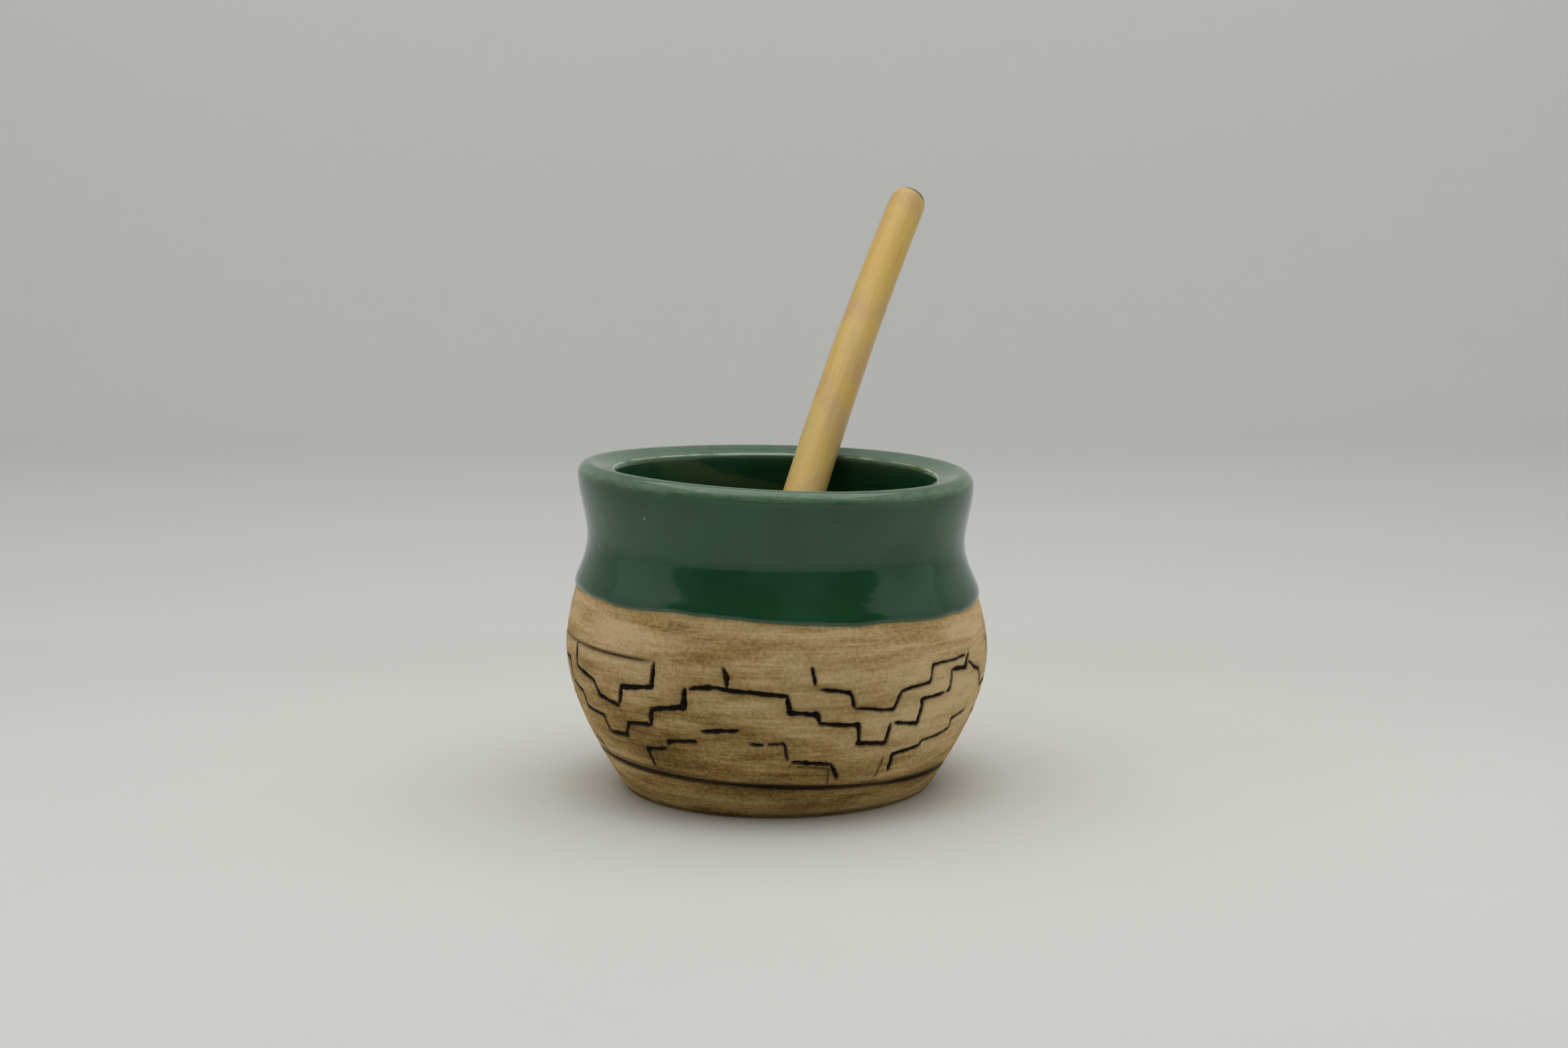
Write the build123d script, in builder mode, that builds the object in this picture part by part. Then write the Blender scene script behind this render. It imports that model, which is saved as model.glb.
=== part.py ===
"""Hand-thrown drinking cup with a leaning cane straw, in millimetres.

The cup stands on Z = 0 with its axis on +Z; +Y is its back, where the straw leans on the rim.
"""

from build123d import *
from math import cos, degrees, radians, sin, tan
import os

# ---- cup: (radius, height) of the turning points of the fired clay's section ----
FOOT = (31.0, 0.0)
FLARE = (37.0, 10.0)
BELLY = (42.5, 29.0)
GLAZE_EDGE = (40.6, 39.3)
SHOULDER = (38.9, 44.0)
WAIST = (37.6, 48.6)
LIP = (39.2, 62.0)
RIM_ROUNDING = 2.0
RIM_SLOPE = 16.0  # degrees that the rim's top falls towards the mouth
MOUTH_RADIUS = 32.4
MOUTH_ROUNDING = 1.1
NECK = (33.1, 50.0)
HOLLOW = (37.2, 30.0)
HEEL = (34.6, 16.0)
FLOOR_CORNER = (30.0, 8.4)
FLOOR_RADIUS = 23.0
FLOOR_HEIGHT = 5.6
# The sloping top runs on smoothly into both roundings.
RIM_FALL = (LIP[0] - RIM_ROUNDING - MOUTH_RADIUS - MOUTH_ROUNDING) * tan(radians(RIM_SLOPE))
MOUTH_HEIGHT = LIP[1] + (RIM_ROUNDING - MOUTH_ROUNDING) / cos(radians(RIM_SLOPE)) - RIM_FALL
FLARING = (0.68, 1.0)  # direction of the wall at the foot
UPWARD = (-0.28, 1.0)  # and where the glaze begins
GLAZE_THICKNESS = 0.4

FOOT_ROUNDING = 0.9

# ---- turned grooves: (radius, height) of the tool's centre, on the wall ----
GROOVE_CENTRES = ((42.4, 31.2), (35.6, 7.4))
GROOVE_TOOL_RADIUS = 0.45

# ---- incised border, repeated round the wall ----
BORDER_REPEATS = 5
FIRST_VALLEY = -63.5  # degrees from +X
STROKE_WIDTH = 0.9
STROKE_DEPTH = 0.55
STAIN_DEPTH = 0.25  # the black stain fills each stroke up to this depth below the wall
STROKE_REACH = (20.0, 60.0)  # radii that the cutting blocks span
# Each stroke is a chain of (degrees from the valley's middle, height) corners, and each leg of
# it is a level run or an upright rise.
STROKES = (
    ((-36, 27), (-25, 27), (-25, 23), (-14, 23), (-14, 19), (-4.5, 19), (-4.5, 15.5)),
    ((-4.5, 15.5), (4.5, 15.5), (4.5, 19), (14, 19), (14, 23), (25, 23), (25, 27), (36, 27)),
    ((-16.5, 31), (-16.5, 26.6), (-6, 26.6), (-6, 22.4), (6, 22.4), (6, 26.6), (16.5, 26.6)),
    ((16.5, 26.6), (16.5, 31)),
    ((33, 27), (33, 31)),
    ((8.5, 9), (8.5, 13), (15, 13), (15, 16), (24, 16)),
    ((27, 19), (37, 19)),
    ((39.5, 16.6), (47.5, 16.6), (47.5, 12.6), (61, 12.6), (61, 9)),
)

# ---- cane straw: its centre line is an arc through these points ----
STRAW_FOOT = (-9.0, -21.9, 9.8)
STRAW_MIDDLE = (8.4, 24.9, 63.36)
STRAW_TIP = (30.3, 73.2, 116.0)
STRAW_FOOT_RADIUS = 4.65
STRAW_TIP_RADIUS = 4.15
MOUTHPIECE_LENGTH = 1.4
MOUTHPIECE_ROUNDING = 1.2
BORE_RADIUS = 2.0
# Places along the straw are shares of its length from the foot.
KNOT = 0.06
KNOT_WALL = 0.012
STRAW_SECTIONS = (0, 0.25, 0.5, 0.75, 1)
SLITS = 0.14
SLIT_WIDTH = 0.8
SLIT_LENGTH = 12.0


def inward(point, distance):
    """The section point moved towards the axis."""
    return (point[0] - distance, point[1])


def bare_wall(depth=0.0):
    """Outline from the foot up to the edge of the glaze, at a depth below the surface."""
    turns = [inward(point, depth) for point in (FOOT, FLARE, BELLY, GLAZE_EDGE)]
    Spline(*turns, tangents=(FLARING, UPWARD))


def glazed_wall(coat=0.0):
    """Outline from the edge of the glaze over the rim to the middle of the floor, under a coat."""
    outside = [inward(point, -coat) for point in (GLAZE_EDGE, SHOULDER, WAIST, LIP)]
    inside = [inward(point, coat) for point in (NECK, HOLLOW, HEEL, FLOOR_CORNER)]
    rim_centre = (LIP[0] - RIM_ROUNDING, LIP[1])
    mouth_centre = (MOUTH_RADIUS + MOUTH_ROUNDING, MOUTH_HEIGHT)
    turned = 90 + RIM_SLOPE
    floor_edge = (FLOOR_RADIUS, FLOOR_HEIGHT + coat)
    Spline(*outside, tangents=(UPWARD, (0, 1)))
    lip = CenterArc(rim_centre, RIM_ROUNDING + coat, 0, turned)
    mouth = CenterArc(mouth_centre, MOUTH_ROUNDING + coat, turned, 180 - turned)
    Line(lip @ 1, mouth @ 0)
    Spline(mouth @ 1, *inside, floor_edge, tangents=((0, -1), (-1, 0)))
    Line(floor_edge, (0, FLOOR_HEIGHT + coat))


def wall_core(depth):
    """The decorated wall as a full body, taken down to a depth below its surface."""
    with BuildPart() as core:
        with BuildSketch(Plane.XZ):
            with BuildLine():
                bare_wall(depth)
                top = inward(GLAZE_EDGE, depth)
                Polyline(top, (0, top[1]), (0, 0), inward(FOOT, depth))
            make_face()
        revolve(axis=Axis.Z)
    return core.part


def wedge(start, end):
    """Plan of a block across the wall between two angles, one stroke width wider than they are."""
    margin = degrees(STROKE_WIDTH / 2 / BELLY[0])
    near, far = STROKE_REACH
    turn = ((near, start - margin), (far, start - margin), (far, end + margin), (near, end + margin))
    return [(radius * cos(radians(angle)), radius * sin(radians(angle))) for radius, angle in turn]


def straw_radius(share):
    """Outer radius of the cane at a share of its length from the foot."""
    return STRAW_FOOT_RADIUS + share * (STRAW_TIP_RADIUS - STRAW_FOOT_RADIUS)


def across(line, share):
    """Plane square to the straw's centre line at a share of its length."""
    return Plane(origin=line @ share, z_dir=line % share)


os.makedirs("parts", exist_ok=True)

# ---- cutting blocks of the border: one motif, then its repeats round the pot ----
with BuildPart() as motif:
    for stroke in STROKES:
        for (angle, height), (next_angle, next_height) in zip(stroke, stroke[1:]):
            bottom = min(height, next_height) - STROKE_WIDTH / 2
            with BuildSketch(Plane.XY.offset(bottom)):
                corners = wedge(min(angle, next_angle), max(angle, next_angle))
                Polygon(*corners, align=None)
            extrude(amount=abs(next_height - height) + STROKE_WIDTH)

with BuildPart() as strokes:
    with PolarLocations(0, BORDER_REPEATS, start_angle=FIRST_VALLEY):
        add(motif.part)
    add(wall_core(STROKE_DEPTH), mode=Mode.SUBTRACT)

# ---- fired clay: the thrown pot with its turned grooves and incised border ----
with BuildPart() as clay_cup:
    with BuildSketch(Plane.XZ):
        with BuildLine():
            bare_wall()
            glazed_wall()
            Polyline((0, FLOOR_HEIGHT), (0, 0), FOOT)
        make_face()
        with Locations(*GROOVE_CENTRES):
            Circle(GROOVE_TOOL_RADIUS, mode=Mode.SUBTRACT)
    revolve(axis=Axis.Z)
    fillet(clay_cup.edges().group_by(Axis.Z)[0], FOOT_ROUNDING)
    add(strokes.part, mode=Mode.SUBTRACT)

clay_cup.part.label = "clay_cup"
export_step(clay_cup.part, "parts/clay_cup.step")

# ---- black stain: lies in the bottom of every stroke, short of the wall's surface ----
with BuildPart() as stroke_stain:
    add(strokes.part)
    add(wall_core(STAIN_DEPTH), mode=Mode.INTERSECT)

stroke_stain.part.label = "stroke_stain"
export_step(stroke_stain.part, "parts/stroke_stain.step")

# ---- green glaze: a coat fused to the shoulder, the rim and the whole inside ----
with BuildPart() as green_glaze:
    with BuildSketch(Plane.XZ):
        with BuildLine():
            glazed_wall()
            glazed_wall(GLAZE_THICKNESS)
            Line(GLAZE_EDGE, inward(GLAZE_EDGE, -GLAZE_THICKNESS))
            Line((0, FLOOR_HEIGHT), (0, FLOOR_HEIGHT + GLAZE_THICKNESS))
        make_face()
    revolve(axis=Axis.Z)

green_glaze.part.label = "green_glaze"
export_step(green_glaze.part, "parts/green_glaze.step")

# ---- cane straw: a tapering, slightly bent tube, closed near its foot by its own knot ----
straw_line = ThreePointArc(STRAW_FOOT, STRAW_MIDDLE, STRAW_TIP)

with BuildPart() as bore:
    for start, end in ((0, KNOT - KNOT_WALL), (KNOT + KNOT_WALL, 1)):
        stretch = straw_line.trim(start, end)
        with BuildSketch(across(stretch, 0)):
            Circle(BORE_RADIUS)
        sweep(path=stretch)
    with BuildSketch(across(straw_line, 1)):
        Circle(BORE_RADIUS)
    extrude(amount=MOUTHPIECE_LENGTH)

with BuildPart() as cane_straw:
    for place in STRAW_SECTIONS:
        with BuildSketch(across(straw_line, place)):
            Circle(straw_radius(place))
    loft()
    with BuildSketch(across(straw_line, 1)):
        Circle(STRAW_TIP_RADIUS)
    extrude(amount=MOUTHPIECE_LENGTH)
    fillet(cane_straw.faces().sort_by(Axis.Z)[-1].edges(), MOUTHPIECE_ROUNDING)
    add(bore.part, mode=Mode.SUBTRACT)
    with Locations(across(straw_line, SLITS)):
        with PolarLocations(0, 2, angular_range=180):
            Box(3 * STRAW_FOOT_RADIUS, SLIT_WIDTH, SLIT_LENGTH, mode=Mode.SUBTRACT)

cane_straw.part.label = "cane_straw"
export_step(cane_straw.part, "parts/cane_straw.step")
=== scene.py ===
"""Hand-thrown clay cup with a green glaze and a cane straw.

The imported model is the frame: every piece here stands where the model has it. Lengths inside
the classes are in millimetres and turn into metres when a mesh is made. Angles round the cup are
measured in degrees from its front (-Y), and grow towards +X.
"""

from __future__ import annotations

import logging
import math
from dataclasses import dataclass, field
from enum import Enum

import bpy
import numpy as np
from mathutils import Euler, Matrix, Vector, kdtree, noise

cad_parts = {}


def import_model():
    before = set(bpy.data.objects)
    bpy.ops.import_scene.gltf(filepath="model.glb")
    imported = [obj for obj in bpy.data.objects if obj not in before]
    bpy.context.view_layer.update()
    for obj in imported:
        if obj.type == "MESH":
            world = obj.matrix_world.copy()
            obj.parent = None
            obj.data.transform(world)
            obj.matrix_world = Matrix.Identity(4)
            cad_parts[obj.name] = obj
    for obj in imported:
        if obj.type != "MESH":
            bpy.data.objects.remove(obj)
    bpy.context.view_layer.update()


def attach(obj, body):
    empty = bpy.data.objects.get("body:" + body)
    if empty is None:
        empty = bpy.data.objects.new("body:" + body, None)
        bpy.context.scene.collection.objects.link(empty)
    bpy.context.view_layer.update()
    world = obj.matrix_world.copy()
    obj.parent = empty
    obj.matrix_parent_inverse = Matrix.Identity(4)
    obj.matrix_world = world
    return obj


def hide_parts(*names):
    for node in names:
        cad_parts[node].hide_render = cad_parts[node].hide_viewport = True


MM = 0.001
LOG = logging.getLogger("cup")

Point2 = tuple[float, float]
Point3 = tuple[float, float, float]
Colour = tuple[float, float, float]


class Slot(Enum):
    """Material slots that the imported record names."""

    CLAY = "fired_clay"
    GLAZE = "green_glaze"
    STAIN = "black_stain"
    CANE = "cane"


# --------------------------------------------------------------------------- curves and meshes


def smooth_run(points: list[Point2], start: Point2, end: Point2, steps: int = 40) -> np.ndarray:
    """Runs a smooth curve through section points.

    Args:
        points: the (radius, height) points it passes.
        start: its direction at the first point.
        end: its direction at the last point.
        steps: places on it between two points.

    Returns:
        The curve's points, one row each.
    """
    knots = np.array(points, float)
    gaps = np.linalg.norm(np.diff(knots, axis=0), axis=1)
    slopes = np.diff(knots, axis=0) / gaps[:, None]
    count = len(knots)
    system = np.eye(count)
    wanted = np.zeros((count, 2))
    wanted[0] = np.array(start) / np.linalg.norm(start)
    wanted[-1] = np.array(end) / np.linalg.norm(end)
    for i in range(1, count - 1):
        before, after = gaps[i - 1], gaps[i]
        system[i, i - 1 : i + 2] = (after, 2 * (before + after), before)
        wanted[i] = 3 * (after * slopes[i - 1] + before * slopes[i])
    tangents = np.linalg.solve(system, wanted)
    t = np.linspace(0, 1, steps, endpoint=False)[:, None]
    rows = []
    for i, gap in enumerate(gaps):
        rows.append(
            (1 + 2 * t) * (1 - t) ** 2 * knots[i]
            + t * (1 - t) ** 2 * gap * tangents[i]
            + t**2 * (3 - 2 * t) * knots[i + 1]
            + t**2 * (t - 1) * gap * tangents[i + 1]
        )
    rows.append(knots[-1:])
    return np.vstack(rows)


def round_corner(centre: Point2, radius: float, start: float, end: float, steps: int) -> np.ndarray:
    """Runs the rounding of a section.

    Args:
        centre: the (radius, height) it turns round.
        radius: its radius.
        start: the angle it starts at, in degrees from the radius's own direction.
        end: the angle it ends at.
        steps: how many points it has.

    Returns:
        Its points, one row each.
    """
    turn = np.radians(np.linspace(start, end, steps))
    return np.column_stack((centre[0] + radius * np.cos(turn), centre[1] + radius * np.sin(turn)))


def even_out(points: np.ndarray, count: int) -> np.ndarray:
    """Spaces the points of a section line evenly along it.

    Args:
        points: the line's (radius, height) points.
        count: how many points to give it.

    Returns:
        The same line with that many points.
    """
    along = np.concatenate(([0.0], np.cumsum(np.linalg.norm(np.diff(points, axis=0), axis=1))))
    places = np.linspace(0, along[-1], count)
    return np.column_stack([np.interp(places, along, points[:, k]) for k in range(2)])


def make_piece(name: str, places: np.ndarray, faces: list[tuple[int, ...]]) -> bpy.types.Object:
    """Makes a smooth-shaded mesh piece.

    Args:
        name: the piece's name.
        places: its points, in millimetres.
        faces: its faces, as indices of the points.

    Returns:
        The piece, at the origin.
    """
    mesh = bpy.data.meshes.new(name)
    mesh.from_pydata((places * MM).tolist(), [], faces)
    mesh.polygons.foreach_set("use_smooth", np.ones(len(mesh.polygons), bool))
    mesh.update()
    piece = bpy.data.objects.new(name, mesh)
    bpy.context.scene.collection.objects.link(piece)
    return piece


def store(piece: bpy.types.Object, name: str, values: np.ndarray) -> None:
    """Stores a number or a vector at every point of a piece, for its finish to read.

    Args:
        piece: the piece.
        name: what the finish reads it by.
        values: a number for each point, or a row of three.
    """
    kind, key = ("FLOAT", "value") if values.ndim == 1 else ("FLOAT_VECTOR", "vector")
    attribute = piece.data.attributes.new(name, kind, "POINT")
    attribute.data.foreach_set(key, values.astype(np.float32).ravel())


def report(piece: bpy.types.Object) -> None:
    """Logs a finished piece and its size.

    Args:
        piece: the piece.
    """
    triangles = sum(len(face.vertices) - 2 for face in piece.data.polygons)
    size = [round(side / MM, 1) for side in piece.dimensions]
    LOG.info("%s: %d triangles, %s mm", piece.name, triangles, size)


def bell(distance: np.ndarray, width: float) -> np.ndarray:
    """A soft bump: 1 at distance 0, small beyond the width."""
    return np.exp(-((distance / width) ** 2))


def wobble(along: float, pitch: float, seed: float) -> float:
    """A smooth wandering number between -1 and 1."""
    return noise.noise(Vector((along / pitch, seed * 7.31, seed * 3.17)))


# --------------------------------------------------------------------------- shader building


class Shader:
    """Adds and joins nodes in one material or node group."""

    def __init__(self, tree: bpy.types.NodeTree) -> None:
        """Takes the tree that the nodes go in."""
        self.tree = tree

    def node(self, kind: str, **settings: object) -> bpy.types.Node:
        """Adds a node and sets its options.

        Args:
            kind: Blender's name of the node's type.
            settings: its options.

        Returns:
            The node.
        """
        made = self.tree.nodes.new(kind)
        for key, value in settings.items():
            setattr(made, key, value)
        return made

    def put(self, socket: bpy.types.NodeSocket, value: object) -> None:
        """Joins a socket to the input, or sets its value.

        Args:
            socket: the input.
            value: another node's output, or a plain number, colour or vector.
        """
        if isinstance(value, bpy.types.NodeSocket):
            self.tree.links.new(value, socket)
        elif socket.type == "RGBA":
            socket.default_value = (*value, 1.0)
        else:
            socket.default_value = value

    def stored(self, name: str, vector: bool = False) -> bpy.types.NodeSocket:
        """What a piece stores at its points under a name."""
        made = self.node("ShaderNodeAttribute", attribute_type="GEOMETRY", attribute_name=name)
        return made.outputs["Vector" if vector else "Fac"]

    def math(self, kind: str, first: object, second: object = 0.0) -> bpy.types.NodeSocket:
        """Works something out from two numbers.

        Args:
            kind: what to do with them.
            first: the first number.
            second: the second number.

        Returns:
            The result.
        """
        made = self.node("ShaderNodeMath", operation=kind)
        self.put(made.inputs[0], first)
        self.put(made.inputs[1], second)
        return made.outputs[0]

    def spread(self, value: object, low: float, high: float,
               start: float = 0.0, end: float = 1.0) -> bpy.types.NodeSocket:
        """Stretches a part of a value's range softly over another range.

        Args:
            value: the value.
            low: where the part begins.
            high: where it ends.
            start: what its beginning becomes.
            end: what its end becomes.

        Returns:
            The stretched value.
        """
        made = self.node("ShaderNodeMapRange", interpolation_type="SMOOTHSTEP")
        for socket, number in zip(made.inputs, (value, low, high, start, end)):
            self.put(socket, number)
        return made.outputs[0]

    def mix(self, share: object, first: object, second: object) -> bpy.types.NodeSocket:
        """Mixes two colours.

        Args:
            share: how much of the second there is, from 0 to 1.
            first: the first colour.
            second: the second colour.

        Returns:
            The mixed colour.
        """
        made = self.node("ShaderNodeMix", data_type="RGBA")
        self.put(made.inputs[0], share)
        self.put(made.inputs[6], first)
        self.put(made.inputs[7], second)
        return made.outputs[2]

    def scaled(self, vector: object, scale: Point3, move: float = 0.0) -> bpy.types.NodeSocket:
        """Stretches the three parts of a vector, then moves it.

        Args:
            vector: the vector.
            scale: how much each part is stretched.
            move: how far it is moved, so that no two patterns match.

        Returns:
            The new vector.
        """
        made = self.node("ShaderNodeMapping")
        self.put(made.inputs["Vector"], vector)
        self.put(made.inputs["Scale"], scale)
        self.put(made.inputs["Location"], (move, move * 0.7, move * 1.3))
        return made.outputs[0]

    def cloud(self, vector: object, size: float, detail: float = 2.0) -> bpy.types.NodeSocket:
        """Makes soft random patches.

        Args:
            vector: the place on the piece.
            size: how large the patches are.
            detail: how much finer structure they have.

        Returns:
            A number from 0 to 1 that changes over the surface.
        """
        made = self.node("ShaderNodeTexNoise")
        self.put(made.inputs["Vector"], vector)
        self.put(made.inputs["Scale"], 1.0 / size)
        self.put(made.inputs["Detail"], detail)
        return made.outputs["Fac"]

    def drawn(self, vector: object, across: float, along: float,
              move: float = 0.0) -> bpy.types.NodeSocket:
        """Puts the shared group of drawn-out streaks in, with this finish's own sizes.

        Args:
            vector: the place on the piece.
            across: the streaks' size along the vector's first two parts.
            along: their size along its third part.
            move: how far they are moved, so that no two patterns match.

        Returns:
            A number from 0 to 1 that changes over the surface.
        """
        made = self.node("ShaderNodeGroup", node_tree=streak_group())
        self.put(made.inputs["Vector"], vector)
        self.put(made.inputs["Across"], across)
        self.put(made.inputs["Along"], along)
        self.put(made.inputs["Move"], move)
        return made.outputs["Streaks"]

    def specks(self, vector: object, size: float, share: float) -> bpy.types.NodeSocket:
        """Puts the shared group of scattered specks in, with this finish's own sizes.

        Args:
            vector: the place on the piece.
            size: how far apart they can be.
            share: how many of the places have one, from 0 to 1.

        Returns:
            1 on a speck and 0 beside it.
        """
        made = self.node("ShaderNodeGroup", node_tree=speck_group())
        self.put(made.inputs["Vector"], vector)
        self.put(made.inputs["Size"], size)
        self.put(made.inputs["Share"], share)
        return made.outputs["Specks"]

    def bump(self, height: object, depth: float) -> bpy.types.NodeSocket:
        """Turns a height into a bumpy surface.

        Args:
            height: the height, from 0 to 1.
            depth: how deep that is, in millimetres.

        Returns:
            The surface's normal.
        """
        made = self.node("ShaderNodeBump")
        self.put(made.inputs["Strength"], 1.0)
        self.put(made.inputs["Distance"], depth * MM)
        self.put(made.inputs["Height"], height)
        return made.outputs["Normal"]


def group_of(name: str, inputs: dict[str, str],
             output: str) -> tuple[Shader, dict[str, bpy.types.NodeSocket], bpy.types.NodeSocket]:
    """Starts a shader node group with named inputs and one output number.

    Args:
        name: the group's name.
        inputs: the kind of socket for each input's name.
        output: the output's name.

    Returns:
        The group's node builder, its inputs by name, and the socket that its result goes to.
    """
    tree = bpy.data.node_groups.new(name, "ShaderNodeTree")
    for label, kind in inputs.items():
        tree.interface.new_socket(label, in_out="INPUT", socket_type=kind)
    tree.interface.new_socket(output, in_out="OUTPUT", socket_type="NodeSocketFloat")
    shader = Shader(tree)
    entry = shader.node("NodeGroupInput")
    leave = shader.node("NodeGroupOutput")
    return shader, {label: entry.outputs[label] for label in inputs}, leave.inputs[output]


def streak_group() -> bpy.types.NodeTree:
    """Streaks, coarse and fine, drawn out along whichever part of the vector has the larger size.

    Returns:
        The group, made on the first call.
    """
    made = bpy.data.node_groups.get("Drawn streaks")
    if made:
        return made
    kinds = {"Vector": "NodeSocketVector", "Across": "NodeSocketFloat"}
    kinds |= {"Along": "NodeSocketFloat", "Move": "NodeSocketFloat"}
    shader, given, result = group_of("Drawn streaks", kinds, "Streaks")
    parts = shader.node("ShaderNodeSeparateXYZ")
    shader.put(parts.inputs[0], given["Vector"])
    total = None
    for finer, weight in ((1.0, 0.6), (2.7, 0.4)):
        joined = shader.node("ShaderNodeCombineXYZ")
        for k, width in enumerate((given["Across"], given["Across"], given["Along"])):
            turned = shader.math("MULTIPLY", shader.math("DIVIDE", parts.outputs[k], width), finer)
            shader.put(joined.inputs[k], shader.math("ADD", turned, given["Move"]))
        cloud = shader.cloud(joined.outputs[0], 1.0, 3.0)
        part = shader.math("MULTIPLY", cloud, weight)
        total = shader.math("ADD", total, part) if total else part
    shader.put(result, total)
    return shader.tree


def speck_group() -> bpy.types.NodeTree:
    """Small scattered specks, 1 on a speck and 0 beside it.

    Returns:
        The group, made on the first call.
    """
    made = bpy.data.node_groups.get("Specks")
    if made:
        return made
    kinds = {"Vector": "NodeSocketVector", "Size": "NodeSocketFloat", "Share": "NodeSocketFloat"}
    shader, given, result = group_of("Specks", kinds, "Specks")
    cells = shader.node("ShaderNodeTexVoronoi")
    shader.put(cells.inputs["Vector"], given["Vector"])
    shader.put(cells.inputs["Scale"], shader.math("DIVIDE", 1.0, given["Size"]))
    chosen = shader.node("ShaderNodeSeparateColor")
    shader.put(chosen.inputs[0], cells.outputs["Color"])
    near = shader.spread(cells.outputs["Distance"], 0.10, 0.03)
    kept = shader.math("LESS_THAN", chosen.outputs[0], given["Share"])
    shader.put(result, shader.math("MULTIPLY", near, kept))
    return shader.tree


def new_material(name: str) -> tuple[bpy.types.Material, Shader, bpy.types.Node]:
    """Starts a material.

    Args:
        name: its name.

    Returns:
        The material, its node builder and its surface shader.
    """
    material = bpy.data.materials.new(name)
    material.use_nodes = True
    shader = Shader(material.node_tree)
    return material, shader, material.node_tree.nodes["Principled BSDF"]


# --------------------------------------------------------------------------- finishes


@dataclass(frozen=True)
class ClayFinish:
    """Bare fired clay under a brown wash that was brushed on and wiped off again."""

    pale: Colour = (0.80, 0.585, 0.315)
    warm: Colour = (0.48, 0.308, 0.106)
    brown: Colour = (0.17, 0.092, 0.020)
    # Darkest clay colour: darker along the strokes and grooves, and a painted contact shadow along the
    # foot's lower edge.
    darkening: Colour = (0.022, 0.013, 0.006)

    def material(self) -> bpy.types.Material:
        """Builds the clay's material.

        Returns:
            The material.
        """
        material, shader, surface = new_material("brushed clay")
        turning = shader.stored("turning", vector=True)
        broad = shader.drawn(turning, 20.0, 2.6)
        fine = shader.drawn(turning, 11.0, 0.42, 5.0)
        hair = shader.drawn(turning, 7.0, 0.14, 11.0)
        patches = shader.cloud(shader.scaled(turning, (0.22, 0.22, 1.0), 2.0), 3.6, 4.0)
        grains = shader.cloud(turning, 0.7, 2.0)
        tone = shader.math("MULTIPLY", shader.spread(broad, 0.34, 0.66), 0.26)
        tone = shader.math("ADD", tone, shader.math("MULTIPLY", shader.spread(fine, 0.3, 0.7), 0.20))
        tone = shader.math("ADD", tone, shader.math("MULTIPLY", shader.spread(patches, 0.3, 0.7), 0.30))
        tone = shader.math("ADD", tone, shader.math("MULTIPLY", shader.spread(grains, 0.3, 0.7), 0.20))
        tone = shader.math("ADD", tone, shader.math("SUBTRACT", shader.stored("wash"), 0.41))
        colour = shader.mix(shader.spread(tone, 0.0, 0.55), self.brown, self.warm)
        colour = shader.mix(shader.spread(tone, 0.35, 1.0), colour, self.pale)
        lines = shader.spread(hair, 0.40, 0.28)
        colour = shader.mix(shader.math("MULTIPLY", lines, 0.28), colour, self.brown)
        grit = shader.specks(turning, 1.3, 0.16)
        colour = shader.mix(shader.math("MULTIPLY", grit, 0.6), colour, self.brown)
        # Darker along the strokes and grooves, plus a painted contact shadow along the foot's lower edge.
        darkening_and_foot_shadow = shader.math("MULTIPLY", shader.stored("darkening"), shader.spread(fine, 0.2, 0.6, 0.75))
        colour = shader.mix(darkening_and_foot_shadow, colour, self.darkening)
        shader.put(surface.inputs["Base Color"], colour)
        shader.put(surface.inputs["Roughness"], shader.spread(tone, 0.0, 1.0, 0.72, 0.88))
        shader.put(surface.inputs["Specular IOR Level"], 0.18)
        height = shader.math("ADD", fine, shader.math("MULTIPLY", hair, 0.5))
        shader.put(surface.inputs["Normal"], shader.bump(height, 0.07))
        return material


@dataclass(frozen=True)
class GlazeFinish:
    """Glossy green glaze that breaks pale where it runs thin over an edge."""

    deep: Colour = (0.014, 0.077, 0.032)
    light: Colour = (0.025, 0.102, 0.048)
    thin: Colour = (0.19, 0.31, 0.18)
    bare: Colour = (0.50, 0.56, 0.40)
    speck: Colour = (0.42, 0.50, 0.44)

    def material(self) -> bpy.types.Material:
        """Builds the glaze's material.

        Returns:
            The material.
        """
        material, shader, surface = new_material("green glaze")
        turning = shader.stored("turning", vector=True)
        pools = shader.cloud(turning, 14.0, 3.0)
        streaks = shader.drawn(turning, 18.0, 2.2, 3.0)
        colour = shader.mix(shader.spread(pools, 0.35, 0.68), self.deep, self.light)
        colour = shader.mix(shader.spread(streaks, 0.52, 0.72, 0.0, 0.3), colour, self.light)
        mottle = shader.drawn(turning, 3.0, 0.9, 8.0)
        patchy = shader.spread(mottle, 0.3, 0.66, 0.45)
        breaking = shader.math("MULTIPLY", shader.stored("thin"), patchy)
        colour = shader.mix(breaking, colour, self.thin)
        broken = shader.spread(shader.cloud(turning, 9.0, 4.0), 0.36, 0.58)
        edge = shader.math("MULTIPLY", shader.stored("ridge"), broken)
        colour = shader.mix(edge, colour, self.bare)
        colour = shader.mix(shader.specks(turning, 5.0, 0.13), colour, self.speck)
        shader.put(surface.inputs["Base Color"], colour)
        shader.put(surface.inputs["Roughness"], shader.spread(pools, 0.3, 0.7, 0.055, 0.10))
        height = shader.math("ADD", shader.cloud(turning, 3.2, 1.0), streaks)
        shader.put(surface.inputs["Normal"], shader.bump(height, 0.035))
        return material


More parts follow.
